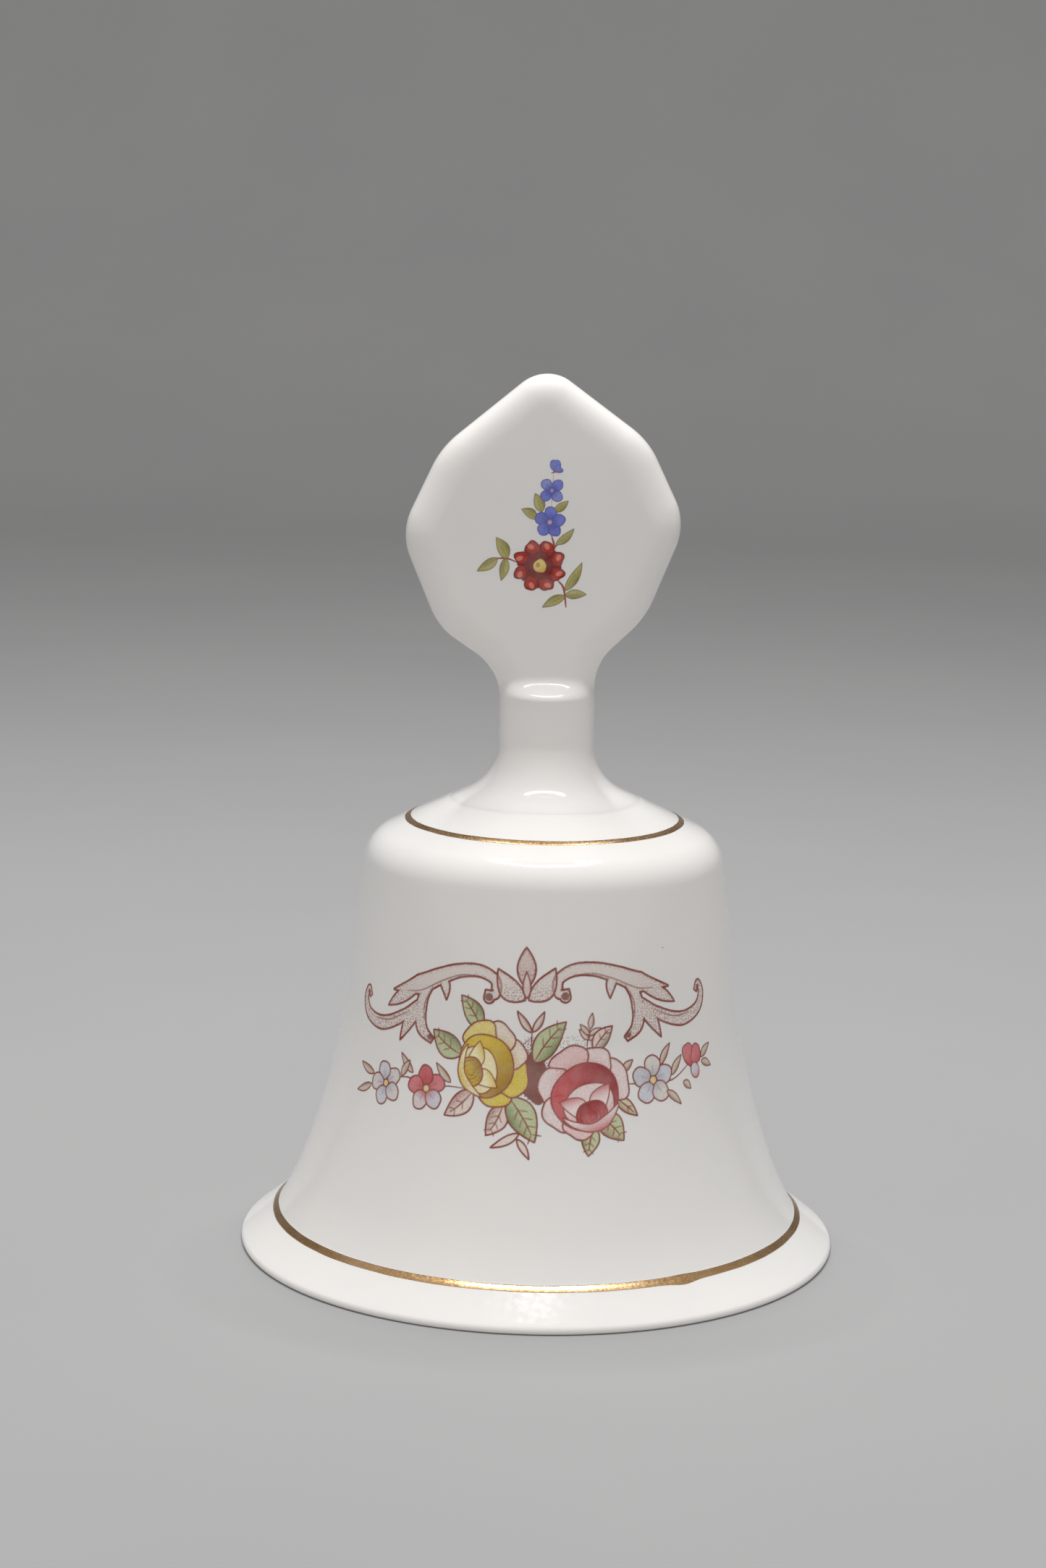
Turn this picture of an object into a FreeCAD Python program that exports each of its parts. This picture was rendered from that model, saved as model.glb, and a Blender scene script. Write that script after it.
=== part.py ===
import FreeCAD, Part
import math
import os

from FreeCAD import Vector

# A porcelain table bell, in millimetres. +Z is up, the origin is the centre of the
# ring that it rests on, and the decorated face of the handle looks along -Y.

# Bell body: a slip-cast shell of one wall thickness
RIM_RADIUS = 44.6
WALL = 2.7
FOOT_ROUND = 0.5
RIM_ROUND = 0.9
RIM_TURN = 52.0
LIP_RUN = 6.3
CREASE_RADIUS = 2.0
CREASE_TURN = 21.4
FLARE_RADIUS = 43.0
FLARE_TURN = 9.1
WAIST_RADIUS = 106.0
WAIST_TURN = 14.65
SKIRT_RUN = 20.8
SHOULDER_RADIUS = 5.6
SHOULDER_TURN = 57.4
CROWN_RADIUS = 14.1
VENT_RADIUS = 3.2

# Handle: a round stem that flares onto the crown and flattens into a paddle
NECK_RADIUS = 7.0
FLARE_SLOPE = 25.75
FLARE_FILLET = 8.5
TOTAL_HEIGHT = 130.0
PADDLE_THICKNESS = 8.0
PADDLE_ROUND = 4.6
ROUND_POWER = 2.2
PADDLE_SHIFT = -1.1
PADDLE_TILT = 3.0
SLAB_START = 78.5
SLAB_END = 85.0
STEM_BLEND_START = 83.0
STEM_BLEND_END = 87.2
LEAN_START = 81.5
LEAN_END = 93.5
BLEND_POWER = 4.0
BORE_DEPTH = 10.0
SECTION_STEP = 1.6
TIP_FLAT = 0.02
# Corners of one side of the paddle, (distance from its middle, height, rounding radius)
NECK_CORNER = (7.0, 87.1, 8.3)
FLANK_CORNER = (15.2, 93.7, 12.0)
WIDEST_CORNER = (20.9, 107.6, 8.6)
BROW_CORNER = (15.1, 119.8, 13.0)
PADDLE_POINT = (0.0, 131.53, 5.8)

# Clapper: brass wire work and a porcelain ball
WIRE_RADIUS = 0.6
LINK_GAP = 0.08
EYE_HEIGHT = 59.5
EYE_BEND = 2.0
EYE_LEG_TOP = 72.0
RING_BEND = 2.6
LOOP_BEND = 1.9
BALL_RADIUS = 7.0
BALL_HEIGHT = 19.0
BALL_CLEARANCE = 0.05
STOP_RADIUS = 1.7
STOP_THICKNESS = 1.0
ROD_TAIL = 0.6
PLUG_AIR_GAP = 1.0
PLUG_BLOB_RADIUS = 5.2
PLUG_BLOB_DEPTH = 1.3

Z_AXIS = Vector(0, 0, 1)


def arc(radius, turn):
    return {"radius": radius, "turn": turn}


def run(length):
    return {"length": length}


def run_to(radius):
    return {"to": radius}


def trace(start, heading, steps, inset=0.0):
    """The edges of a path in the XZ plane, and its first and last points.

    The path leaves start, an (x, z), at heading degrees above +X. An arc turns left
    when its turn is positive. inset moves the whole path that far to its left, so
    left-hand arcs shrink by it and right-hand arcs grow.
    """
    x, z = start
    angle = math.radians(heading)

    def shifted(px, pz, direction):
        return Vector(px - inset * math.sin(direction), 0, pz + inset * math.cos(direction))

    edges = []
    first = shifted(x, z, angle)
    last = first
    for step in steps:
        if "turn" in step:
            side = math.copysign(1.0, step["turn"])
            turn = math.radians(step["turn"])
            centre_x = x - side * step["radius"] * math.sin(angle)
            centre_z = z + side * step["radius"] * math.cos(angle)
            stops = []
            for part in (0.5, 1.0):
                here = angle + part * turn
                px = centre_x + side * step["radius"] * math.sin(here)
                pz = centre_z - side * step["radius"] * math.cos(here)
                stops.append((px, pz, here))
            middle, end = [shifted(*stop) for stop in stops]
            x, z, angle = stops[1]
            edges.append(Part.Arc(last, middle, end).toShape())
            last = end
        else:
            length = step["length"] if "length" in step else (step["to"] - x) / math.cos(angle)
            x += length * math.cos(angle)
            z += length * math.sin(angle)
            end = shifted(x, z, angle)
            edges.append(Part.LineSegment(last, end).toShape())
            last = end
    return edges, first, last


def line(a, b):
    return Part.LineSegment(a, b).toShape()


def turned(edges):
    """A solid of revolution about Z from a closed outline in the XZ plane."""
    outline = Part.Wire(Part.sortEdges(edges)[0])
    return Part.Face(outline).revolve(Vector(), Z_AXIS, 360)


def wall_steps(lip_run):
    """The wall from the lip's slope, over the crease and the waist, up to the crown."""
    return [
        run(lip_run),
        arc(CREASE_RADIUS, -CREASE_TURN),
        arc(FLARE_RADIUS, -FLARE_TURN),
        arc(WAIST_RADIUS, -WAIST_TURN),
        run(SKIRT_RUN),
        arc(SHOULDER_RADIUS, SHOULDER_TURN),
        run_to(CROWN_RADIUS),
    ]


def outer_side():
    """The wall's outer side, with the rim rounded over onto the lip."""
    steps = [arc(RIM_ROUND, RIM_TURN)] + wall_steps(LIP_RUN)
    return trace((RIM_RADIUS, FOOT_ROUND), 90, steps)


def inner_side():
    """The wall's inner side, from where its lip slope meets the ground foot."""
    turn = math.radians(RIM_TURN)
    rim_top = FOOT_ROUND + RIM_ROUND * math.sin(turn)
    lip_edge = RIM_RADIUS - RIM_ROUND * (1 - math.cos(turn))
    skipped = (WALL * math.sin(turn) - rim_top) / math.cos(turn)
    start = (lip_edge - skipped * math.sin(turn), rim_top + skipped * math.cos(turn))
    return trace(start, 90 + RIM_TURN, wall_steps(LIP_RUN - skipped), WALL)


def foot_round(rim):
    """A quarter round from the rim down to the resting ring, and its lowest point."""
    centre_x = rim.x - FOOT_ROUND
    slant = FOOT_ROUND * math.sqrt(0.5)
    middle = Vector(centre_x + slant, 0, FOOT_ROUND - slant)
    low = Vector(centre_x, 0, 0)
    return Part.Arc(rim, middle, low).toShape(), low


def bell_shell():
    outer, rim, crown_edge = outer_side()
    inner, inner_low, ceiling_edge = inner_side()
    rounding, outer_low = foot_round(rim)
    vent_top = Vector(VENT_RADIUS, 0, crown_edge.z)
    vent_bottom = Vector(VENT_RADIUS, 0, ceiling_edge.z)
    crown = [
        line(crown_edge, vent_top),
        line(vent_top, vent_bottom),
        line(vent_bottom, ceiling_edge),
    ]
    base = [rounding, line(outer_low, inner_low)]
    print(f"resting ring from radius {inner_low.x:.3f} to {outer_low.x:.3f}")
    return turned(outer + inner + crown + base), crown_edge.z, ceiling_edge.z


def smooth(value, start, end):
    """0 below start, 1 above end, and an even S between them."""
    t = min(max((value - start) / (end - start), 0.0), 1.0)
    return t * t * (3 - 2 * t)


def rounded_outline(corners, steps=24):
    """Points along a line through corners, each one rounded by its own radius."""
    points = [corners[0][:2]]
    for before, corner, after in zip(corners, corners[1:], corners[2:]):
        back = Vector(before[0] - corner[0], 0, before[1] - corner[1]).normalize()
        ahead = Vector(after[0] - corner[0], 0, after[1] - corner[1]).normalize()
        half = back.getAngle(ahead) / 2
        tangent = corner[2] / math.tan(half)
        middle = (back + ahead).normalize() * (corner[2] / math.sin(half))
        reach = back * tangent - middle
        end = ahead * tangent - middle
        sweep = reach.getAngle(end)
        for i in range(steps + 1):
            # the arc's points turn evenly from one tangent point to the other
            t = i / steps
            share = math.sin((1 - t) * sweep) / math.sin(sweep)
            other = math.sin(t * sweep) / math.sin(sweep)
            place = middle + reach * share + end * other
            points.append((corner[0] + place.x, corner[1] + place.z))
    points.append(corners[-1][:2])
    return points


def handle_outline(crown_height):
    """The handle seen from the front: up its right side, over the point, down its left."""
    flare_run = CROWN_RADIUS - NECK_RADIUS
    rise = flare_run * math.tan(math.radians(FLARE_SLOPE))
    flare_corner = (NECK_RADIUS, crown_height + rise, FLARE_FILLET)
    foot = (CROWN_RADIUS, crown_height, 0)
    right = [foot, flare_corner, NECK_CORNER, FLANK_CORNER, WIDEST_CORNER, BROW_CORNER]
    left = [(-x, z, radius) for x, z, radius in reversed(right)]
    return rounded_outline(right + [PADDLE_POINT] + left)


def half_width(outline, height):
    """How far the outline's right side is from the middle at that height."""
    for (x0, z0), (x1, z1) in zip(outline, outline[1:]):
        if z0 <= height <= z1 and z1 > z0:
            return x0 + (x1 - x0) * (height - z0) / (z1 - z0)
    return 0.0


def edge_distance(outline, x, z):
    """The shortest way from a point inside the outline to its edge."""
    best = float("inf")
    for (x0, z0), (x1, z1) in zip(outline, outline[1:]):
        along = (x1 - x0, z1 - z0)
        size = along[0] ** 2 + along[1] ** 2
        t = ((x - x0) * along[0] + (z - z0) * along[1]) / size if size else 0.0
        t = min(max(t, 0.0), 1.0)
        best = min(best, math.hypot(x0 + t * along[0] - x, z0 + t * along[1] - z))
    return best


def half_depth(outline, x, z):
    """Half the handle's thickness at a point of its front view.

    The paddle is a flat slab whose edge is rounded over PADDLE_ROUND. The stem is
    round, and fades where the paddle takes over. The larger of the two leads.
    """
    inward = min(edge_distance(outline, x, z) / PADDLE_ROUND, 1.0)
    rounding = (1 - (1 - inward) ** ROUND_POWER) ** (1 / ROUND_POWER)
    slab = PADDLE_THICKNESS / 2 * rounding * smooth(z, SLAB_START, SLAB_END)
    fade = 1 - smooth(z, STEM_BLEND_START, STEM_BLEND_END)
    stem_radius = half_width(outline, min(z, STEM_BLEND_START))
    stem = fade * math.sqrt(max(stem_radius**2 - x * x, 0.0))
    return (slab**BLEND_POWER + stem**BLEND_POWER) ** (1 / BLEND_POWER)


def handle_section(outline, height, count=48):
    """A closed curve round the handle, level at the stem and tilted at the paddle."""
    width = half_width(outline, height)
    follow = smooth(height, LEAN_START, LEAN_END)
    slope = math.tan(math.radians(PADDLE_TILT)) * follow
    points = []
    for i in range(count):
        angle = 2 * math.pi * i / count
        x = width * math.cos(angle)
        depth = half_depth(outline, x, height)
        y = math.copysign(depth, math.sin(angle)) if i % (count // 2) else 0.0
        points.append(Vector(x + PADDLE_SHIFT * follow, y, height + slope * x))
    curve = Part.BSplineCurve()
    turns = [i / count for i in range(count + 1)]
    curve.interpolate(Points=points, PeriodicFlag=True, Parameters=turns)
    return Part.Wire(curve.toShape())


def section_heights(outline):
    """Heights that cut the outline's right side into equal lengths, up to the point."""
    heights = [outline[0][1]]
    walked = 0.0
    for (x0, z0), (x1, z1) in zip(outline, outline[1:]):
        length = math.hypot(x1 - x0, z1 - z0)
        while z1 > z0 and walked + length >= SECTION_STEP * len(heights):
            t = (SECTION_STEP * len(heights) - walked) / length
            heights.append(z0 + (z1 - z0) * t)
        walked += length
        if z1 <= z0:
            break
    tip = TOTAL_HEIGHT - TIP_FLAT
    return [height for height in heights if height < tip - TIP_FLAT] + [tip]


def handle(crown_height):
    """The flared stem and paddle, lofted as one piece, with a blind bore in its foot."""
    outline = handle_outline(crown_height)
    sections = [handle_section(outline, height) for height in section_heights(outline)]
    body = Part.makeLoft(sections, True, True)
    bore = Part.makeCylinder(VENT_RADIUS, BORE_DEPTH, Vector(0, 0, crown_height))
    return body.cut(bore)


def tube_ring(bend, centre, normal):
    return Part.makeTorus(bend, WIRE_RADIUS, centre, normal)


def link_drop():
    """How far a hanging wire's middle sits above the middle of the wire that holds it."""
    return 2 * WIRE_RADIUS + LINK_GAP


def hanger_plug(crown_height, ceiling_height, eye):
    """Plaster that fills the vent, with a low blob under the ceiling, round the eye."""
    top = crown_height + BORE_DEPTH - PLUG_AIR_GAP
    stem = Part.makeCylinder(VENT_RADIUS, top - ceiling_height, Vector(0, 0, ceiling_height))
    ball_radius = (PLUG_BLOB_RADIUS**2 + PLUG_BLOB_DEPTH**2) / (2 * PLUG_BLOB_DEPTH)
    blob_foot = Vector(0, 0, ceiling_height - PLUG_BLOB_DEPTH)
    ball = Part.makeSphere(ball_radius, blob_foot + Vector(0, 0, ball_radius))
    slab = Part.makeCylinder(PLUG_BLOB_RADIUS, PLUG_BLOB_DEPTH, blob_foot)
    blob = ball.common(slab)
    return stem.fuse(blob).removeSplitter().cut(eye)


def hanger_eye():
    """A wire staple: a half round bend between two legs that stand in the plaster."""
    bend_height = EYE_HEIGHT + EYE_BEND
    right_foot = Vector(EYE_BEND, 0, bend_height)
    left_foot = Vector(-EYE_BEND, 0, bend_height)
    rise = Vector(0, 0, EYE_LEG_TOP - bend_height)
    path = Part.Wire([
        line(right_foot + rise, right_foot),
        Part.Arc(right_foot, Vector(0, 0, EYE_HEIGHT), left_foot).toShape(),
        line(left_foot, left_foot + rise),
    ])
    section = Part.Wire(Part.Circle(right_foot + rise, Z_AXIS, WIRE_RADIUS).toShape())
    return path.makePipeShell([section], True, True)


def swing_ring():
    centre = Vector(0, 0, EYE_HEIGHT + link_drop() - RING_BEND)
    return tube_ring(RING_BEND, centre, Vector(1, 0, 0)), centre.z - RING_BEND


def clapper_rod(hook_height, rod_foot):
    """A straight wire with a closed loop at its head, hung on the ring."""
    centre = Vector(0, 0, hook_height + link_drop() - LOOP_BEND)
    loop = tube_ring(LOOP_BEND, centre, Vector(0, 1, 0))
    neck = centre.z - LOOP_BEND
    wire = Part.makeCylinder(WIRE_RADIUS, neck - rod_foot, Vector(0, 0, rod_foot))
    return loop.fuse(wire)


def clapper_ball():
    centre = Vector(0, 0, BALL_HEIGHT)
    hole_foot = Vector(0, 0, BALL_HEIGHT - BALL_RADIUS)
    hole = Part.makeCylinder(WIRE_RADIUS + BALL_CLEARANCE, 2 * BALL_RADIUS, hole_foot)
    return Part.makeSphere(BALL_RADIUS, centre).cut(hole)


def ball_stop(top):
    """A small brass washer, pinched onto the wire, that the ball rests on."""
    foot_point = Vector(0, 0, top - STOP_THICKNESS)
    washer = Part.makeCylinder(STOP_RADIUS, STOP_THICKNESS, foot_point)
    washer = washer.makeFillet(STOP_THICKNESS / 4, washer.Edges)
    return washer.cut(Part.makeCylinder(WIRE_RADIUS, STOP_THICKNESS, foot_point))


def build():
    shell, crown_height, ceiling_height = bell_shell()
    eye = hanger_eye()
    ring, hook_height = swing_ring()
    hole_radius = WIRE_RADIUS + BALL_CLEARANCE
    ball_foot = BALL_HEIGHT - math.sqrt(BALL_RADIUS**2 - hole_radius**2)
    stop_top = ball_foot - BALL_CLEARANCE
    rod_foot = stop_top - STOP_THICKNESS - ROD_TAIL
    print(f"crown {crown_height:.3f}, ceiling {ceiling_height:.3f}, ring hook {hook_height:.3f}")
    return {
        "bell_shell": shell,
        "handle": handle(crown_height),
        "hanger_plug": hanger_plug(crown_height, ceiling_height, eye),
        "hanger_eye": eye,
        "swing_ring": ring,
        "clapper_rod": clapper_rod(hook_height, rod_foot),
        "clapper_ball": clapper_ball(),
        "ball_stop": ball_stop(stop_top),
    }


os.makedirs("parts", exist_ok=True)
for name, shape in build().items():
    solid = shape if isinstance(shape, Part.Solid) else shape.Solids[0]
    box = solid.optimalBoundingBox(False, False)
    print(
        f"{name}: valid {solid.isValid()}, {solid.Volume:.1f} mm3, "
        f"{box.XLength:.2f} x {box.YLength:.2f} x {box.ZLength:.2f} mm, "
        f"from z {box.ZMin:.2f} to {box.ZMax:.2f}"
    )
    solid.exportStep(f"parts/{name}.step")
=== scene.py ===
# %% [markdown]
# # A porcelain table bell
#
# This lesson builds the looks of a small china bell: a glazed shell with a flat
# paddle handle, two gilt lines, printed flowers, and a clapper on wire links inside.
# The solid model is loaded first and never moved. Its facets are coarse, so each
# solid gets a smooth surface with the same sizes, which rides on the same body.
# Lengths below are in millimetres, the unit a potter would use, and become metres
# when a mesh is made.

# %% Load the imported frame
import math

import bpy
import numpy as np
from mathutils import Matrix, Vector


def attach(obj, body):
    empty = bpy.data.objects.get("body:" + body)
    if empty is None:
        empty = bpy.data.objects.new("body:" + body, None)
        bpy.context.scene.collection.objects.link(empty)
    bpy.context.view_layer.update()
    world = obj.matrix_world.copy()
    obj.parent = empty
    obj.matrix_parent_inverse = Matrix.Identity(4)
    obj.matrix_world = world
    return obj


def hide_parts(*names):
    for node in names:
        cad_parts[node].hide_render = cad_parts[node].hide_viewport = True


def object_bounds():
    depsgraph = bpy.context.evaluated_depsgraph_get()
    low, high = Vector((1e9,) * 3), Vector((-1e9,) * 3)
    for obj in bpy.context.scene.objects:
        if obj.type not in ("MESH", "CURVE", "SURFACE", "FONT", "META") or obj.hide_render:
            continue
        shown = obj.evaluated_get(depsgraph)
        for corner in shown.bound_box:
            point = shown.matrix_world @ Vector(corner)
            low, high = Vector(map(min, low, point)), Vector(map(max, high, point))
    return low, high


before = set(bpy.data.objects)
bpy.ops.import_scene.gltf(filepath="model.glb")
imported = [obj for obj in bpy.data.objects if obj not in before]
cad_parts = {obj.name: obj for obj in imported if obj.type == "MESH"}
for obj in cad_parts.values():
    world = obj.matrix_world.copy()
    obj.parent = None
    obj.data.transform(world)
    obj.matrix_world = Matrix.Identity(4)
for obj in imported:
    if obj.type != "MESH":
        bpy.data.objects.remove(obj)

cad_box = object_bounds()
MM = 0.001
print("frame box in mm:", [[round(v / MM, 2) for v in corner] for corner in cad_box])

# %% [markdown]
# ## Surfaces from numbers
#
# Every piece is a grid of points. One direction goes round the piece and always
# closes on itself. The other goes along it, and is closed too, or ends at a pole or
# a rim. A grid like this is quick to compute as whole arrays, and its quads all wind
# the same way, so the faces point outwards. Sculpting or boxes with subdivision
# would also work, but could not promise the potter's exact radii.

# %% A mesh from points and faces
def new_piece(name, points, faces, sharp=30.0):
    """An object from points in mm and arrays of face corners, smooth but for sharp edges."""
    mesh = bpy.data.meshes.new(name)
    corners = np.concatenate([f.ravel() for f in faces]).astype(np.int32)
    sizes = np.concatenate([np.full(len(f), f.shape[1]) for f in faces])
    starts = np.concatenate([[0], np.cumsum(sizes)[:-1]]).astype(np.int32)
    mesh.vertices.add(len(points))
    mesh.vertices.foreach_set("co", (points * MM).astype(np.float32).ravel())
    mesh.loops.add(len(corners))
    mesh.loops.foreach_set("vertex_index", corners)
    mesh.polygons.add(len(sizes))
    mesh.polygons.foreach_set("loop_start", starts)
    mesh.update(calc_edges=True)
    mesh.shade_smooth()
    mesh.set_sharp_from_angle(angle=math.radians(sharp))
    piece = bpy.data.objects.new(name, mesh)
    bpy.context.scene.collection.objects.link(piece)
    triangles = int((sizes - 2).sum())
    print(f"{name}: {len(points)} points, {triangles} triangles")
    return piece


def grid_quads(rows, columns, loop):
    """Quads (i, j), (i, j+1), (i+1, j+1), (i+1, j) of a grid whose columns wrap round."""
    i = np.arange(rows if loop else rows - 1)[:, None]
    j = np.arange(columns)[None, :]
    here, up = i * columns, (i + 1) % rows * columns
    right = (j + 1) % columns
    return np.stack([here + j, here + right, up + right, up + j], -1).reshape(-1, 4)


def skin(name, rings, loop=False, start=None, end=None, sharp=30.0):
    """A closed surface through rings[row, column], with a pole point at each open end."""
    rows, columns = rings.shape[:2]
    points = [rings.reshape(-1, 3)]
    faces = [grid_quads(rows, columns, loop)]
    j = np.arange(columns)
    right = (j + 1) % columns
    if start is not None:
        pole = np.full(columns, rows * columns)
        points.append(np.array([start], float))
        faces.append(np.stack([pole, right, j], -1))
    if end is not None:
        pole = np.full(columns, rows * columns + (start is not None))
        last = (rows - 1) * columns
        points.append(np.array([end], float))
        faces.append(np.stack([last + j, last + right, pole], -1))
    return new_piece(name, np.concatenate(points), faces, sharp)


def turned(profile, columns):
    """Rings of a lathe shape: (radius cos a, radius sin a, height) for a full turn of a."""
    a = np.linspace(0, 2 * np.pi, columns, endpoint=False)
    radius, height = profile[:, :1], profile[:, 1:]
    return np.stack([radius * np.cos(a), radius * np.sin(a), height + 0 * a], -1)

# %% [markdown]
# ## The shell's outline
#
# A potter's template for the shell is a chain of arcs and straight runs: the rounded
# rim, the lip's slope, the crease under the gilt line, the flare, the long waist, the
# shoulder and the crown. The same chain, moved inwards by the wall's thickness, makes
# the inside, because slip builds an even wall against the mould.

# %% A path of arcs and runs
def template(start, heading, steps, inset=0.0):
    """Points of a path, (radius, height), that starts at heading degrees above outwards.

    On an arc of radius r the point moves by r times the change of (sin, -cos) of the
    heading. On a run it moves along (cos, sin) of it. inset moves every point to the
    left of its own heading by that much.
    """
    x, z = start
    angle = math.radians(heading)
    parts = []
    for radius, amount, count in steps:
        t = np.linspace(0, 1, count + 1)
        if radius:
            here = angle + t * math.radians(amount)
            signed = math.copysign(radius, amount)
            px = x + signed * (np.sin(here) - math.sin(angle))
            pz = z - signed * (np.cos(here) - math.cos(angle))
        else:
            here = np.full(count + 1, angle)
            px = x + t * amount * math.cos(angle)
            pz = z + t * amount * math.sin(angle)
        line = np.stack([px - inset * np.sin(here), pz + inset * np.cos(here)], -1)
        parts.append(line if not parts else line[1:])
        x, z, angle = px[-1], pz[-1], here[-1]
    return np.concatenate(parts)

# %% The shell's sizes and its two outlines
RIM_RADIUS, WALL, FOOT_ROUND = 44.6, 2.7, 0.5
RIM_ROUND, RIM_TURN = 0.9, 52.0
LIP_RUN = 6.3
RIM_STEPS, LIP_STEPS = 10, 12
CROWN_RADIUS, VENT_RADIUS = 14.1, 3.2
CREASE_TO_SHOULDER = [
    (2.0, -21.4, 6), (43.0, -9.1, 14), (106.0, -14.65, 44), (0, 20.8, 26), (5.6, 57.4, 14),
]


def up_to_crown(start, heading, steps, inset=0.0):
    """The path through steps, and then straight on to the crown's radius."""
    bare = template(start, heading, steps)
    slope = math.radians(heading + sum(amount for radius, amount, _ in steps if radius))
    rest = (CROWN_RADIUS - bare[-1, 0]) / math.cos(slope)
    return template(start, heading, steps + [(0, rest, 12)], inset)


turn = math.radians(RIM_TURN)
lip_edge = RIM_RADIUS - RIM_ROUND * (1 - math.cos(turn))
rim_top = FOOT_ROUND + RIM_ROUND * math.sin(turn)
skipped = (WALL * math.sin(turn) - rim_top) / math.cos(turn)
inner_start = (lip_edge - skipped * math.sin(turn), rim_top + skipped * math.cos(turn))
outer = up_to_crown(
    (RIM_RADIUS, FOOT_ROUND), 90,
    [(RIM_ROUND, RIM_TURN, RIM_STEPS), (0, LIP_RUN, LIP_STEPS)] + CREASE_TO_SHOULDER,
)
inner = up_to_crown(
    inner_start, 90 + RIM_TURN, [(0, LIP_RUN - skipped, 10)] + CREASE_TO_SHOULDER, WALL
)
CROWN, CEILING = outer[-1, 1], inner[-1, 1]
print(f"outer outline {len(outer)} points, crown {CROWN:.2f}, ceiling {CEILING:.2f}")

# %% The shell
foot = template((RIM_RADIUS - FOOT_ROUND, 0), 0, [(FOOT_ROUND, 90, 5)])
MID_CROWN, LAND_INNER, LAND_MIDDLE = 9.0, 42.3, 43.2
vent = [[MID_CROWN, CROWN], [VENT_RADIUS, CROWN], [VENT_RADIUS, CEILING], [MID_CROWN, CEILING]]
land = [[LAND_INNER, 0.0], [LAND_MIDDLE, 0.0]]
shell_outline = np.concatenate([outer, vent, inner[::-1], land, foot[:-1]])
shell = skin("bell_shell_glazed", turned(shell_outline, 288), loop=True, sharp=35)

# %% [markdown]
# ## The handle
#
# The handle is cast in its own mould and stuck to the crown with slip. Seen from the
# front it is a chain of rounded corners. Its thickness at any point depends on how
# far that point is from the edge: flat in the middle, and falling away over the last
# few millimetres. Lower down it fades into a round stem. One grid of level rings,
# tilted a little at the paddle, covers all of it without a joint.

# %% The handle's outline
HANDLE_TOP, TIP_FLAT, NECK_RADIUS = 130.0, 0.02, 7.0
FLARE_SLOPE, FLARE_FILLET = 25.75, 8.5
SIDE_CORNERS = [(7.0, 87.1, 8.3), (15.2, 93.7, 12.0), (20.9, 107.6, 8.6), (15.1, 119.8, 13.0)]
PADDLE_POINT = (0.0, 131.53, 5.8)


def rounded(corners, count=24):
    """A line through (x, z, radius) corners, each replaced by an arc between its tangents."""
    points = [np.array([corners[0][:2]], float)]
    t = np.linspace(0, 1, count + 1)[:, None]
    for before, corner, after in zip(corners, corners[1:], corners[2:]):
        here = np.array(corner[:2])
        back, ahead = np.array(before[:2]) - here, np.array(after[:2]) - here
        back, ahead = back / np.linalg.norm(back), ahead / np.linalg.norm(ahead)
        half = math.acos(np.clip(back @ ahead, -1, 1)) / 2
        reach = corner[2] / math.tan(half)
        middle = (back + ahead) / np.linalg.norm(back + ahead) * corner[2] / math.sin(half)
        first, last = back * reach - middle, ahead * reach - middle
        sweep = math.acos(np.clip(first @ last / corner[2] ** 2, -1, 1))
        arc = (first * np.sin((1 - t) * sweep) + last * np.sin(t * sweep)) / math.sin(sweep)
        points.append(here + middle + arc)
    points.append(np.array([corners[-1][:2]], float))
    return np.concatenate(points)


flare_rise = (CROWN_RADIUS - NECK_RADIUS) * math.tan(math.radians(FLARE_SLOPE))
right_side = [(CROWN_RADIUS, CROWN, 0), (NECK_RADIUS, CROWN + flare_rise, FLARE_FILLET)]
right_side += SIDE_CORNERS
left_side = [(-x, z, r) for x, z, r in reversed(right_side)]
handle_line = rounded(right_side + [PADDLE_POINT] + left_side)
top_index = int(np.argmax(handle_line[:, 1]))
right_line = handle_line[: top_index + 1]
print(f"handle outline {len(handle_line)} points, top at {right_line[-1, 1]:.2f}")

# %% The handle's thickness
PADDLE_THICKNESS, PADDLE_ROUND, ROUND_POWER = 8.0, 4.6, 2.2
PADDLE_SHIFT, PADDLE_TILT = -1.1, 3.0
SLAB_START, SLAB_END = 78.5, 85.0
STEM_BLEND_START, STEM_BLEND_END, BLEND_POWER = 83.0, 87.2, 4.0
LEAN_START, LEAN_END = 81.5, 93.5


def smooth(value, start, end):
    """0 below start, 1 above end, and 3t² - 2t³ between them."""
    t = np.clip((value - start) / (end - start), 0, 1)
    return t * t * (3 - 2 * t)


def edge_distance(x, z):
    """The distance from each point to the nearest stretch of the outline."""
    best = np.full(x.shape, np.inf)
    for a, b in zip(handle_line, handle_line[1:]):
        along = b - a
        t = ((x - a[0]) * along[0] + (z - a[1]) * along[1]) / max(along @ along, 1e-12)
        t = np.clip(t, 0, 1)
        best = np.minimum(best, np.hypot(a[0] + t * along[0] - x, a[1] + t * along[1] - z))
    return best


def half_width(z):
    """How far the outline's right side is from the middle at each height."""
    return np.interp(z, right_line[:, 1], right_line[:, 0])


def half_depth(x, z):
    """Half the thickness: the slab's rounded edge and the stem's circle, the larger leading."""
    inward = np.clip(edge_distance(x, z) / PADDLE_ROUND, 0, 1)
    rounding = (1 - (1 - inward) ** ROUND_POWER) ** (1 / ROUND_POWER)
    slab = PADDLE_THICKNESS / 2 * rounding * smooth(z, SLAB_START, SLAB_END)
    fade = 1 - smooth(z, STEM_BLEND_START, STEM_BLEND_END)
    stem_radius = half_width(np.minimum(z, STEM_BLEND_START))
    stem = fade * np.sqrt(np.maximum(stem_radius**2 - x * x, 0))
    return (slab**BLEND_POWER + stem**BLEND_POWER) ** (1 / BLEND_POWER)

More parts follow.
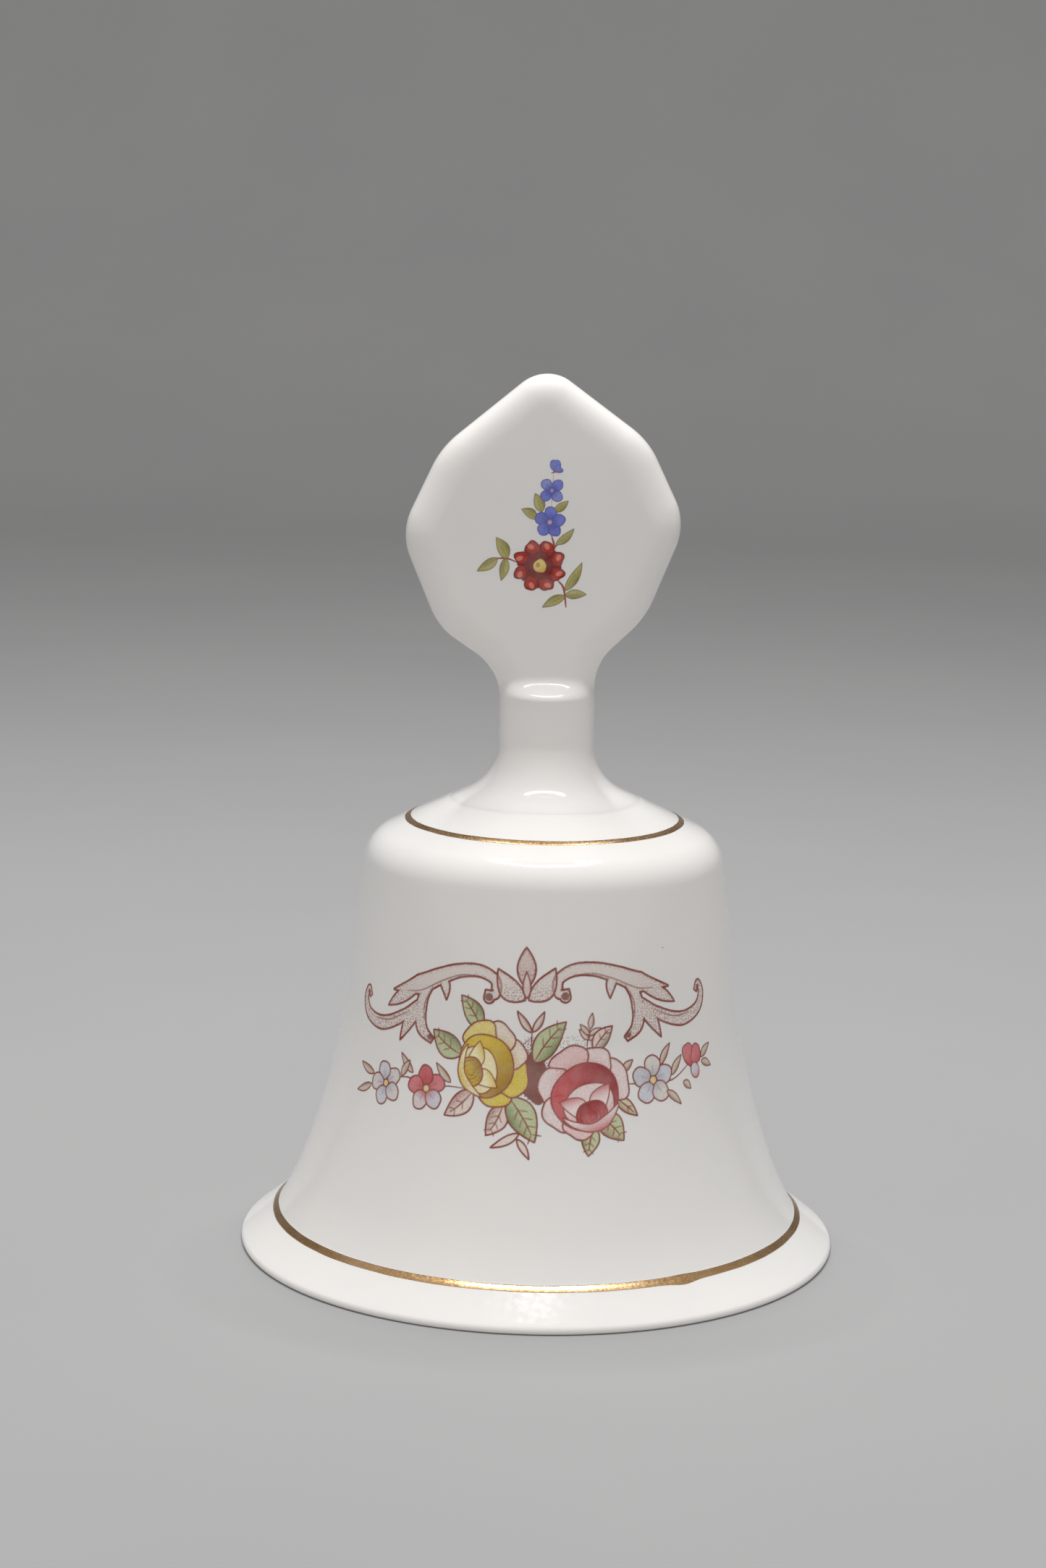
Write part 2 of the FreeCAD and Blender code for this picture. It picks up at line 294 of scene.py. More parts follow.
# %% The handle's rings
steps_along = np.hypot(*np.diff(right_line, axis=0).T)
walked = np.concatenate([[0], np.cumsum(steps_along)])
heights = np.interp(np.linspace(0, walked[-1], 320), walked, right_line[:, 1])
heights = np.append(heights[heights < HANDLE_TOP - 2 * TIP_FLAT], HANDLE_TOP - TIP_FLAT)
around = np.linspace(0, 2 * np.pi, 192, endpoint=False)
level = heights[:, None] + 0 * around
ring_x = half_width(level) * np.cos(around)
ring_y = half_depth(ring_x, level) * np.sign(np.round(np.sin(around), 9))
follow = smooth(level, LEAN_START, LEAN_END)
lean = math.tan(math.radians(PADDLE_TILT)) * follow
handle_rings = np.stack([ring_x + PADDLE_SHIFT * follow, ring_y, level + lean * ring_x], -1)
BORE_DEPTH = 10.0
bore = turned(np.array([[VENT_RADIUS, CROWN + BORE_DEPTH], [VENT_RADIUS, CROWN]]), len(around))
tip = handle_rings[-1].mean(axis=0)
handle = skin(
    "handle_glazed", np.concatenate([bore, handle_rings]),
    start=(0, 0, CROWN + BORE_DEPTH), end=tip, sharp=50,
)
print("handle width in mm:", round(float(np.ptp(handle_rings[..., 0])), 2))

# %% [markdown]
# ## The clapper
#
# Inside hangs a wire rod with a porcelain ball. A staple of brass wire is set in
# plaster in the vent, a ring hangs on it, and the rod's loop hangs on the ring. Wire
# is a circle carried along a path. The frame of each circle is worked out from the
# path's direction and one steady side direction, so the wire never twists.

# %% Wire
WIRE, CAP_SHARE = 0.6, 0.55


def wire_rings(path, side, radius=WIRE, sides=20):
    """Circles along a path: point + radius × (side × cos a + (direction × side) × sin a)."""
    direction = np.gradient(path, axis=0)
    direction /= np.linalg.norm(direction, axis=1, keepdims=True)
    side = np.broadcast_to(side, path.shape)
    up = np.cross(direction, side)
    a = np.linspace(0, 2 * np.pi, sides, endpoint=False)[None, :, None]
    return path[:, None] + radius * (side[:, None] * np.cos(a) + up[:, None] * np.sin(a))


def wire(name, path, side, radius=WIRE):
    """A wire with bevelled ends: a smaller circle, then a pole, closes each end."""
    rings = wire_rings(path, side, radius)
    start_cap = path[0] + CAP_SHARE * (rings[0] - path[0])
    end_cap = path[-1] + CAP_SHARE * (rings[-1] - path[-1])
    rings = np.concatenate([start_cap[None], rings, end_cap[None]])
    return skin(name, rings, start=path[0], end=path[-1], sharp=60)


def join(name, pieces):
    """One object from several, so that a bent wire and its wrapping are one piece."""
    meshes = [(p.data, len(p.data.vertices)) for p in pieces]
    points, faces, base = [], [], 0
    for mesh, count in meshes:
        co = np.empty(count * 3, np.float32)
        mesh.vertices.foreach_get("co", co)
        sizes = np.empty(len(mesh.polygons), np.int32)
        mesh.polygons.foreach_get("loop_total", sizes)
        corners = np.empty(len(mesh.loops), np.int32)
        mesh.loops.foreach_get("vertex_index", corners)
        for size in np.unique(sizes):
            kept = np.repeat(sizes == size, sizes)
            faces.append(corners[kept].reshape(-1, size) + base)
        points.append(co.reshape(-1, 3) / MM)
        base += count
    for piece in pieces:
        bpy.data.objects.remove(piece)
    return new_piece(name, np.concatenate(points), faces, 60)

# %% The staple, the ring and the rod
EYE_HEIGHT, EYE_BEND, EYE_LEG_TOP = 59.5, 2.0, 72.0
RING_BEND, LOOP_BEND, LINK_DROP = 2.6, 1.9, 2 * WIRE + 0.08
BALL_RADIUS, BALL_HEIGHT, BALL_HOLE = 7.0, 19.0, WIRE + 0.05

leg = np.linspace(EYE_LEG_TOP, EYE_HEIGHT + EYE_BEND, 12)[:-1]
bend = np.linspace(0, -np.pi, 25)
right_leg = np.stack([0 * leg + EYE_BEND, 0 * leg, leg], -1)
bend_z = EYE_HEIGHT + EYE_BEND + EYE_BEND * np.sin(bend)
u_bend = np.stack([EYE_BEND * np.cos(bend), 0 * bend, bend_z], -1)
left_leg = right_leg[::-1] * (-1, 1, 1)
eye = wire("hanger_eye_wire", np.concatenate([right_leg, u_bend, left_leg]), (0, 1, 0))

ring_height = EYE_HEIGHT + LINK_DROP - RING_BEND
a = np.linspace(0, 2 * np.pi, 64, endpoint=False)
ring_path = np.stack([0 * a, RING_BEND * np.cos(a), ring_height + RING_BEND * np.sin(a)], -1)
radial = (ring_path - (0, 0, ring_height)) / RING_BEND
c = np.linspace(0, 2 * np.pi, 24, endpoint=False)[None, :, None]
ring_axis = np.array([1.0, 0, 0])
ring_grid = ring_path[:, None] + WIRE * (radial[:, None] * np.cos(c) - ring_axis * np.sin(c))
ring = skin("swing_ring_wire", ring_grid[::-1], loop=True)

loop_height = ring_height - RING_BEND + LINK_DROP - LOOP_BEND
ball_foot = BALL_HEIGHT - math.sqrt(BALL_RADIUS**2 - BALL_HOLE**2)
STOP_RADIUS, STOP_THICKNESS, ROD_TAIL = 1.7, 1.0, 0.6
stop_top = ball_foot - 0.05
rod_foot = stop_top - STOP_THICKNESS - ROD_TAIL
stem_z = np.linspace(rod_foot, loop_height - LOOP_BEND, 40)
stem = np.stack([0 * stem_z, 0 * stem_z, stem_z], -1)
turn_round = np.linspace(-np.pi / 2, 1.5 * np.pi, 72)
eyelet_z = loop_height + LOOP_BEND * np.sin(turn_round)
eyelet = np.stack([LOOP_BEND * np.cos(turn_round), 0 * turn_round, eyelet_z], -1)
rod_straight = wire("rod_straight", stem, (0, 1, 0))
rod_loop = wire("rod_loop", eyelet, (0, 1, 0))
print(f"rod from {rod_foot:.2f} to {loop_height + LOOP_BEND + WIRE:.2f}")

# %% [markdown]
# A wire loop is closed by wrapping its tail round the stem. The wrap is a helix whose
# turns touch each other. Its steady side direction is the one that points away from
# the stem.

# %% The wrap under the loop
WRAP_TURNS, WRAP_DROP, WRAP_PITCH = 2.4, 0.7, 2.04 * WIRE
s = np.linspace(0, 1, 80)
wrap_angle = s * WRAP_TURNS * 2 * np.pi
away = np.stack([np.cos(wrap_angle), np.sin(wrap_angle), 0 * s], -1)
wrap_z = loop_height - LOOP_BEND - WRAP_DROP - s * WRAP_TURNS * WRAP_PITCH
wrap_path = away * (2 * WIRE) + np.stack([0 * s, 0 * s, wrap_z], -1)
wrap = wire("rod_wrap", wrap_path, away)
rod = join("clapper_rod_wire", [rod_straight, rod_loop, wrap])

# %% The ball, its stop and the plaster
gap = math.asin(BALL_HOLE / BALL_RADIUS)
rise = np.linspace(-np.pi / 2 + gap, np.pi / 2 - gap, 61)
ball_outline = np.stack([BALL_RADIUS * np.cos(rise), BALL_HEIGHT + BALL_RADIUS * np.sin(rise)], -1)
ball = skin("clapper_ball_glazed", turned(ball_outline, 96), loop=True, sharp=50)

fillet = STOP_THICKNESS / 4
flat, wall = STOP_RADIUS - WIRE - 2 * fillet, STOP_THICKNESS - 2 * fillet
half_round = [(0, flat, 3), (fillet, 90, 5), (0, wall, 2), (fillet, 90, 5)]
stop_outline = template((WIRE + fillet, stop_top - STOP_THICKNESS), 0, half_round * 2)[:-1]
stop = skin("ball_stop_pinched", turned(stop_outline, 64), loop=True, sharp=50)

BLOB_RADIUS, BLOB_DEPTH, PLUG_AIR_GAP, BLOB_RINGS = 5.2, 1.3, 1.0, 14
dome_radius = (BLOB_RADIUS**2 + BLOB_DEPTH**2) / (2 * BLOB_DEPTH)
dome = np.linspace(0.04, math.asin(BLOB_RADIUS / dome_radius), BLOB_RINGS)
blob_foot = CEILING - BLOB_DEPTH
plug_outline = np.stack([dome_radius * np.sin(dome), blob_foot + dome_radius * (1 - np.cos(dome))], -1)
plug_top = CROWN + BORE_DEPTH - PLUG_AIR_GAP
plug_outline = np.concatenate([plug_outline, [[VENT_RADIUS, CEILING], [VENT_RADIUS, plug_top]]])
plug_rings = turned(plug_outline, 72)
dab = 1 - 0.05 * (1 + np.sin(5 * np.linspace(0, 2 * np.pi, 72, endpoint=False) + 1.0))
plug_rings[:BLOB_RINGS, :, :2] *= dab[None, :, None]
plug = skin("hanger_plug_plaster", plug_rings, start=(0, 0, blob_foot), end=(0, 0, plug_top), sharp=50)

# %% [markdown]
# ## The gilt lines
#
# Liquid gold is laid on with a banding brush while the bell turns on a wheel, then
# fired on. The line is a few hundredths of a millimetre proud, its width wavers a
# little, and where the brush comes back to its start there is a thicker overlap. A
# lens-shaped cross-section that follows the outline gives all three.

# %% Points and directions along the outer outline
outline_walk = np.concatenate([[0], np.cumsum(np.hypot(*np.diff(outer, axis=0).T))])
tangent = np.gradient(outer, outline_walk, axis=0)
tangent /= np.linalg.norm(tangent, axis=1, keepdims=True)
outward = np.stack([tangent[:, 1], -tangent[:, 0]], -1)


def on_outline(walk, proud):
    """The (radius, height) at a length along the outline, lifted off it by proud."""
    point = [np.interp(walk, outline_walk, outer[:, k]) for k in (0, 1)]
    lift = [np.interp(walk, outline_walk, outward[:, k]) for k in (0, 1)]
    return point[0] + lift[0] * proud, point[1] + lift[1] * proud


def waver(angle, size, seed):
    """A smooth random wave round the bell: a few whole-number sines with random phases."""
    draw = np.random.default_rng(seed)
    waves = np.array([2, 3, 5, 9, 14, 23, 41])
    phase = draw.uniform(0, 2 * np.pi, len(waves))
    share = draw.uniform(0.4, 1.0, len(waves)) / waves**0.35
    sines = np.sin(waves[:, None] * angle + phase[:, None])
    return size * (share[:, None] * sines).sum(0) / share.sum()


GOLD_RISE, GOLD_EDGE, GOLD_BACK, OVERLAP_SPAN = 0.035, -0.004, -0.03, 0.055


def gilt_line(name, middle, width, overlap_at, overlap, seed):
    """A lens round the bell: proud × (1 - across²), across from -1 to 1 over the width."""
    a = np.linspace(0, 2 * np.pi, 720, endpoint=False)
    past = (a - overlap_at + np.pi) % (2 * np.pi) - np.pi
    bump = np.exp(-((past / OVERLAP_SPAN) ** 2))
    low = middle - width / 2 + waver(a, 0.10, seed) - overlap * bump
    high = middle + width / 2 + waver(a, 0.08, seed + 1) + 0.25 * overlap * bump
    face, back = np.linspace(-1, 1, 9), np.linspace(1, -1, 5)[1:-1]
    across = np.concatenate([face, back])
    lens = np.concatenate([GOLD_RISE * (1 - face**2) + GOLD_EDGE, 0 * back + GOLD_BACK])
    walk = (low + high)[None] / 2 + (high - low)[None] / 2 * across[:, None]
    radius, height = on_outline(walk, lens[:, None] * (1 + 0.8 * bump))
    rings = np.stack([radius * np.cos(a), radius * np.sin(a), height], -1)
    piece = skin(name, rings, loop=True, sharp=180)
    print(f"{name}: radius {radius.mean():.2f}, height {height.mean():.2f}")
    return piece


UPPER_LINE_RADIUS, SKIRT_START = 20.3, 40
crease_walk = float(outline_walk[RIM_STEPS + LIP_STEPS])
above = slice(SKIRT_START, None)
shoulder_walk = float(np.interp(-UPPER_LINE_RADIUS, -outer[above, 0], outline_walk[above]))
lower_gilt = gilt_line("gilt_line_lower", crease_walk - 0.2, 1.2, math.radians(-57.6), 0.42, 3)
upper_gilt = gilt_line("gilt_line_upper", shoulder_walk, 1.05, math.radians(60), 0.15, 8)

# %% [markdown]
# ## The printed flowers
#
# The flowers are a transfer print: enamel colours on a thin film, slid onto the glaze
# and fired in. Here the film is a fine grid that hugs the porcelain, and each grid
# point carries an ink colour and how much ink covers it. The flowers are drawn on
# the flat film first, shape by shape, with measured distances to smooth outlines.
# Image files would be quicker, but a drawing made of shapes can be changed with a
# number. The spray and scrolls are a plain traditional kind, drawn for this lesson.

# %% A film to draw on
def ink(red, green, blue):
    """A linear colour from the 0 to 255 numbers of a colour picker."""
    c = np.array([red, green, blue]) / 255
    return np.where(c <= 0.04045, c / 12.92, ((c + 0.055) / 1.055) ** 2.4)


def spline(points, closed=False, count=8):
    """A smooth line through points: each stretch is the Catmull-Rom cubic of its four."""
    p = np.asarray(points, float)
    if closed:
        p = np.concatenate([p[-1:], p, p[:2]])
    else:
        p = np.concatenate([2 * p[:1] - p[1:2], p, 2 * p[-1:] - p[-2:-1]])
    t = np.linspace(0, 1, count, endpoint=False)[None, :, None]
    a, b, c, d = p[:-3, None], p[1:-2, None], p[2:-1, None], p[3:, None]
    squared, cubed = 2 * a - 5 * b + 4 * c - d, 3 * b - a - 3 * c + d
    line = 0.5 * (2 * b + (c - a) * t + squared * t**2 + cubed * t**3)
    return np.concatenate([line.reshape(-1, 2), p[-2:-1]])


class Film:
    """A sheet of points a fixed step apart, each with an ink colour and an ink cover."""

    def __init__(self, low, high, step, soft=0.13):
        self.u, self.v = np.meshgrid(
            np.arange(low[0], high[0] + step / 2, step), np.arange(low[1], high[1] + step / 2, step)
        )
        self.colour = np.ones(self.u.shape + (3,))
        self.cover = np.zeros(self.u.shape)
        self.low, self.step, self.soft = np.array(low, float), step, soft

    def window(self, lines, margin):
        """The part of the sheet round some lines, as a slice of its rows and columns."""
        p = np.concatenate(lines)
        first = np.floor((p.min(0) - margin - self.low) / self.step).astype(int)
        last = np.ceil((p.max(0) + margin - self.low) / self.step).astype(int) + 1
        first = np.maximum(first, 0)
        return slice(first[1], max(last[1], 1)), slice(first[0], max(last[0], 1))

    def reach(self, win, line, width=0.0):
        """Distance from the window's points to a line, less its half width there."""
        u, v = self.u[win], self.v[win]
        best = np.full(u.shape, np.inf)
        half = np.broadcast_to(np.asarray(width, float) / 2, len(line))
        for a, b, wide in zip(line, line[1:], half):
            along = b - a
            t = ((u - a[0]) * along[0] + (v - a[1]) * along[1]) / max(along @ along, 1e-12)
            t = np.clip(t, 0, 1)
            best = np.minimum(best, np.hypot(a[0] + t * along[0] - u, a[1] + t * along[1] - v) - wide)
        return best

    def inside(self, win, line):
        """Distance to a closed line, below 0 inside it: inside where a ray crosses oddly often."""
        u, v = self.u[win], self.v[win]
        odd = np.zeros(u.shape, bool)
        for a, b in zip(line, np.roll(line, -1, axis=0)):
            if a[1] != b[1]:
                crossing = (b[0] - a[0]) * (v - a[1]) / (b[1] - a[1]) + a[0]
                odd ^= ((a[1] > v) != (b[1] > v)) & (u < crossing)
        away = self.reach(win, np.concatenate([line, line[:1]]))
        return np.where(odd, -away, away)

    def lay(self, win, mask, colour):
        """Paint over: cover = mask + old cover × (1 - mask), colours mixed by their shares."""
        old = self.cover[win] * (1 - mask)
        total = mask + old
        share = np.where(total > 1e-6, mask / np.maximum(total, 1e-6), 0)[..., None]
        self.colour[win] = self.colour[win] * (1 - share) + np.asarray(colour) * share
        self.cover[win] = total

    def edge(self, distance):
        """1 well inside a distance of 0, 0 outside, soft over one pen edge."""
        return np.clip(0.5 - distance / self.soft, 0, 1)


LINE = ink(138, 46, 28)
DOT_TILE = 97
dots = np.random.default_rng(11).uniform(0.15, 0.85, (DOT_TILE, DOT_TILE, 2))


def stipple(film, win, spacing, size):
    """Stipple dots: the distance to the nearest of the jittered points of a lattice."""
    u, v = film.u[win] / spacing, film.v[win] / spacing
    best = np.full(u.shape, np.inf)
    for du in (-1, 0, 1):
        for dv in (-1, 0, 1):
            i, j = np.floor(u).astype(int) + du, np.floor(v).astype(int) + dv
            spot = dots[j % DOT_TILE, i % DOT_TILE]
            best = np.minimum(best, np.hypot(i + spot[..., 0] - u, j + spot[..., 1] - v))
    return film.edge(best * spacing - size)

# %% Pens and fills
def stroke(film, points, width=0.24, colour=LINE, strength=1.0, taper=True):
    """A pen line through points whose width is full in the middle and fine at its ends."""
    line = spline(points)
    t = np.linspace(0, 1, len(line))
    wide = width * (0.35 + 0.65 * np.sin(np.pi * t) ** 0.6) if taper else width
    win = film.window([line], width)
    film.lay(win, strength * film.edge(film.reach(win, line, wide)), colour)


def wash(film, win, inside, fill, shade=None, toward=(0.4, -0.9), strength=0.9, dotted=0.0,
         line=0.24, pen=LINE, deep=0.55):
    """Fill a shape, shade it toward one side, add stipple in the shade, and outline it."""
    mask = film.edge(inside)
    if not (inside < 0).any():
        return
    toward = np.array(toward) / np.hypot(*toward)
    along = film.u[win] * toward[0] + film.v[win] * toward[1]
    low, high = along[inside < 0].min(), along[inside < 0].max()
    t = np.clip((along - low) / max(high - low, 1e-6), 0, 1)
    film.lay(win, strength * mask, fill)
    if shade is not None:
        film.lay(win, mask * np.clip((t - (1 - deep)) / deep, 0, 1) ** 1.4 * 0.9, shade)
    if dotted:
        zone = np.clip((t - 0.35) / 0.4, 0, 1) + np.clip(1 + inside / 0.6, 0, 1)
        film.lay(win, mask * dotted * np.clip(zone, 0, 1) * stipple(film, win, 0.4, 0.08), pen)
    if line:
        film.lay(win, film.edge(np.abs(inside) - line / 2), pen)


def shape(film, outline, **look):
    """One closed outline, filled and drawn."""
    win = film.window([outline], 0.5)
    wash(film, win, film.inside(win, outline), **look)


def leaf_outline(base, tip, width, bend=0.0, fullness=0.8):
    """Two sides at ± width/2 × sin(pi t^fullness) from a mid-line that bends by t(1 - t)."""
    base, tip = np.array(base, float), np.array(tip, float)
    along = tip - base
    across = np.array([-along[1], along[0]]) / np.linalg.norm(along)
    t = np.linspace(0, 1, 22)[:, None]
    middle = base + along * t + across * bend * 4 * t * (1 - t)
    half = width / 2 * np.sin(np.pi * t**fullness) ** 0.9
    return np.concatenate([middle + across * half, (middle - across * half)[::-1][1:-1]])


def oval(centre, long, wide, turn=0.0, wobble=0.0, count=40):
    """centre + (long cos a, wide sin a), turned, its radius wavering by a few lobes."""
    a = np.linspace(0, 2 * np.pi, count, endpoint=False)
    swell = 1 + wobble * np.sin(3 * a + centre[0]) + 0.5 * wobble * np.sin(5 * a + centre[1])
    x, z = long * np.cos(a) * swell, wide * np.sin(a) * swell
    c, s = math.cos(turn), math.sin(turn)
    return np.stack([centre[0] + c * x - s * z, centre[1] + s * x + c * z], -1)

# %% Leaves and small flowers
GREEN, GREEN_DEEP = ink(196, 206, 160), ink(92, 118, 56)
PALE, OLIVE = ink(236, 220, 210), ink(158, 120, 88)


def leaf(film, base, tip, width, fill=GREEN, shade=GREEN_DEEP, bend=0.0, veins=3, pen=LINE, **look):
    """A leaf, its rib and pairs of veins that lean toward the tip."""
    base, tip = np.array(base, float), np.array(tip, float)
    along = tip - base
    across = np.array([-along[1], along[0]]) / np.linalg.norm(along)
    outline = leaf_outline(base, tip, width, bend)
    shape(film, outline, fill=fill, shade=shade, toward=-across, pen=pen, **look)
    if veins:
        middle = [base + along * t + across * bend * 4 * t * (1 - t) for t in (0.02, 0.3, 0.6, 0.84)]
        stroke(film, middle, 0.24, pen)
        for k in range(1, veins + 1):
            t = k / (veins + 1.6) + 0.12
            root = base + along * t + across * bend * 4 * t * (1 - t)
            for side in (-1, 1):
                end = root + along * 0.13 + across * side * width * 0.27
                stroke(film, [root, end], 0.18, pen, 0.85)


def blossom(film, centre, radius, fills, shade, turn=0.0, petals=5, eye=ink(236, 214, 150),
            pen=LINE, line=0.22):
    """Round petals at even angles round a small eye."""
    centre = np.array(centre, float)
    for k in range(petals):
        a = turn + 2 * np.pi * k / petals
        out = np.array([math.cos(a), math.sin(a)])
        middle = centre + out * radius * 0.6
        fill = fills[k % len(fills)]
        shape(film, oval(middle, radius * 0.44, radius * 0.4, a, 0.04), fill=fill, shade=shade,
              toward=-out, line=line, pen=pen, deep=0.6)
        stroke(film, [centre + out * radius * 0.25, centre + out * radius * 0.62], 0.12, pen, 0.55)
    shape(film, oval(centre, radius * 0.17, radius * 0.17), fill=eye, line=line * 0.9, pen=pen)


def sprig(film, base, tip, count, size):
    """A stem with a leaflet at its end and pairs of leaflets below it."""
    look = {"fill": PALE, "shade": OLIVE, "veins": 0, "line": 0.16, "strength": 0.5}
    base, tip = np.array(base, float), np.array(tip, float)
    along = tip - base
    across = np.array([-along[1], along[0]])
    across /= np.linalg.norm(across)
    ahead = along / np.linalg.norm(along)
    stroke(film, [base, base + along * 0.5 + across * 0.15, tip], 0.17)
    leaf(film, tip, tip + ahead * size, size * 0.4, **look)
    for k in range(count):
        root = base + along * (0.45 + 0.5 * k / count)
        for side in (-1, 1):
            end = root + ahead * size * 0.55 + across * side * size * 0.75
            leaf(film, root, end, size * 0.36, **look)

# %% [markdown]
# A rose is drawn from the back to the front: loose outer petals, the bowl, the dark
# mouth of the bowl, the rolled petals on its far side, the heart, and the petals
# that fold over the near side. All are given in the rose's own directions, where
# `face` is the way that the flower looks.

# %% Roses
def rose(film, centre, radius, face, tones, back_angles, dotted=0.7):
    """A rose whose parts are ovals and leaves placed by (ahead, aside) in radii."""
    light, mid, deep, outer_fills, outer_shade = tones
    centre = np.array(centre, float)
    ahead = np.array([math.cos(face), math.sin(face)])
    aside = np.array([-ahead[1], ahead[0]])

    def at(forward, sideways):
        return centre + radius * (forward * ahead + sideways * aside)

    for k, (angle, size) in enumerate(back_angles):
        a = face + math.pi + math.radians(angle)
        out = np.array([math.cos(a), math.sin(a)])
        petal = oval(centre + out * radius * 0.74, radius * 0.4 * size, radius * 0.5 * size, a, 0.07)
        shape(film, petal, fill=outer_fills[k % len(outer_fills)], shade=outer_shade,
              toward=-out, dotted=dotted, deep=0.75)
    shape(film, oval(at(0.08, 0), radius * 0.74, radius * 0.8, face, 0.02), fill=mid, shade=deep,
          toward=-ahead * 0.3 + aside * 0.7, line=0.22, deep=0.75, dotted=dotted * 0.5)
    shape(film, oval(at(0.3, 0.02), radius * 0.5, radius * 0.6, face, 0.03), fill=light, shade=mid,
          toward=ahead, line=0.2, deep=0.5, dotted=dotted * 0.4)
    for side in (-1, 1):
        root, end = at(0.0, 0.62 * side), at(0.72, 0.12 * side)
        fold = leaf_outline(root, end, radius * 0.42, -0.16 * side * radius, 0.9)
        shape(film, fold, fill=light, shade=mid, toward=-ahead, line=0.18, deep=0.4)
    heart = oval(at(0.52, 0.0), radius * 0.33, radius * 0.37, face, 0.03)
    shape(film, heart, fill=mid, shade=deep, toward=-ahead, line=0.2, deep=0.95, dotted=dotted)
    for k, reach in enumerate((0.28, 0.19, 0.1)):
        swirl = np.linspace(-2.2, 1.4, 7) + 0.7 * k
        curl = [at(0.52 + reach * math.cos(t), reach * math.sin(t)) for t in swirl]
        stroke(film, curl, 0.17, deep * 0.7, 0.8)
    near = spline([at(0.35, -0.66), at(0.62, -0.5), at(0.86, -0.12), at(0.84, 0.3), at(0.5, 0.68),
                   at(0.62, 0.3), at(0.68, -0.08), at(0.52, -0.42)], closed=True)
    shape(film, near[:-1], fill=light, shade=mid, toward=ahead, line=0.19, deep=0.6, dotted=dotted * 0.4)

# %% [markdown]
# Over the roses stands a scroll of curling leaves with a small palmette in the
# middle. One arm is drawn as several overlapping bands and leaves. Their outlines
# melt into one, because the inside distance of a group is the least of its parts'.
# The other arm is the same drawing mirrored.

# %% Scrollwork
def band_outline(points, widths):
    """A band: both sides of a smooth line, half its width away along its normal."""
    line = spline(points)
    wide = np.interp(np.linspace(0, 1, len(line)), np.linspace(0, 1, len(widths)), widths)
    along = np.gradient(line, axis=0)
    across = np.stack([-along[:, 1], along[:, 0]], -1) / np.linalg.norm(along, axis=1, keepdims=True)
    half = wide[:, None] / 2
    return np.concatenate([line + across * half, (line - across * half)[::-1]])


SCROLL_LOOK = {"fill": ink(236, 216, 208), "strength": 0.3, "dotted": 0.8, "line": 0.28}


def scroll_arm(film, place, toward):
    """An arched band, its drooping foot, a curl and three leaves, melted into one outline."""
    parts = [
        band_outline([(6.6, 44.6), (5.0, 44.4), (5.0, 46.4), (7.4, 47.6),
                      (10.8, 47.5), (14.4, 46.4), (18.2, 44.9), (23.6, 43.6)],
                     [0.8, 1.5, 1.5, 1.7, 1.9, 2.4, 2.9, 0.1]),
        band_outline([(13.6, 46.6), (16.6, 44.4), (17.6, 41.6), (17.2, 38.8), (15.2, 37.2)],
                     [0.4, 1.7, 2.1, 1.9, 0.9]),
        band_outline([(18.2, 42.6), (21.4, 40.0), (25.8, 38.5), (29.6, 39.3),
                      (31.0, 41.3), (30.4, 42.8), (29.6, 41.8)],
                     [0.4, 1.7, 2.0, 1.6, 1.2, 1.0, 0.8]),
        leaf_outline((16.8, 42.8), (21.4, 36.6), 2.1, 0.5, 0.9),
        leaf_outline((17.4, 44.6), (24.6, 41.2), 2.0, 0.3, 1.1),
        leaf_outline((14.4, 46.8), (13.0, 43.2), 1.6, -0.5, 0.8),
        oval((5.9, 43.9), 0.85, 0.8),
    ]
    parts = [place(part) for part in parts]
    win = film.window(parts, 0.5)
    inside = np.minimum.reduce([film.inside(win, part) for part in parts])
    wash(film, win, inside, toward=toward, **SCROLL_LOOK)
    for centre, long, wide in (
        ((5.9, 44.0), 0.62, 0.58), ((15.6, 37.7), 0.55, 0.4), ((30.2, 42.2), 0.35, 0.45),
    ):
        shape(film, place(oval(centre, long, wide)), fill=ink(128, 58, 44), line=0.0, strength=0.75)
    for rib in ([(7.4, 46.9), (10.6, 46.9), (14.0, 45.8), (17.6, 44.2), (20.6, 43.8)],
                [(15.6, 44.9), (16.9, 42.4), (16.9, 40.0)], [(20.0, 40.9), (24.0, 39.2), (27.6, 39.0)]):
        stroke(film, place(np.array(rib)), 0.2, LINE, 0.6)


MOTIF_HEIGHT = 42


def motif(tilt, middle, mirror=1):
    """A placing function: mirror and turn a drawing about the motif's own centre."""
    c, s = math.cos(tilt), math.sin(tilt)

    def place(points):
        p = np.asarray(points, float) * (mirror, 1)
        x, z = p[..., 0], p[..., 1] - MOTIF_HEIGHT
        return np.stack([middle + c * x - s * z, MOTIF_HEIGHT + s * x + c * z], -1)

    return place

# %% The skirt's film and its scroll
GIRTH = 31.0
skirt = Film((-34.6, 21.0), (31.6, 52.2), 0.11, 0.11)
MOTIF_TILT, MOTIF_MIDDLE = math.radians(2.4), -1.75
set_right = motif(MOTIF_TILT, MOTIF_MIDDLE)
set_left = motif(MOTIF_TILT, MOTIF_MIDDLE, -1)
scroll_arm(skirt, set_right, (0.5, -1))
scroll_arm(skirt, set_left, (-0.5, -1))
for place in (set_right, set_left):
    side = place(leaf_outline((0.3, 43.6), (4.5, 48.0), 3.1, -0.7, 0.85))
    shape(skirt, side, toward=(0, -1), **SCROLL_LOOK)
shape(skirt, set_right(leaf_outline((0, 45.2), (0, 51.0), 2.9, 0, 0.95)), fill=ink(230, 206, 198),
      toward=(0, -1), strength=0.6, dotted=1.0, line=0.3)
shape(skirt, set_right(leaf_outline((0, 43.9), (0, 47.6), 1.2)), fill=ink(236, 216, 208),
      toward=(0, -1), strength=0.7, line=0.24)

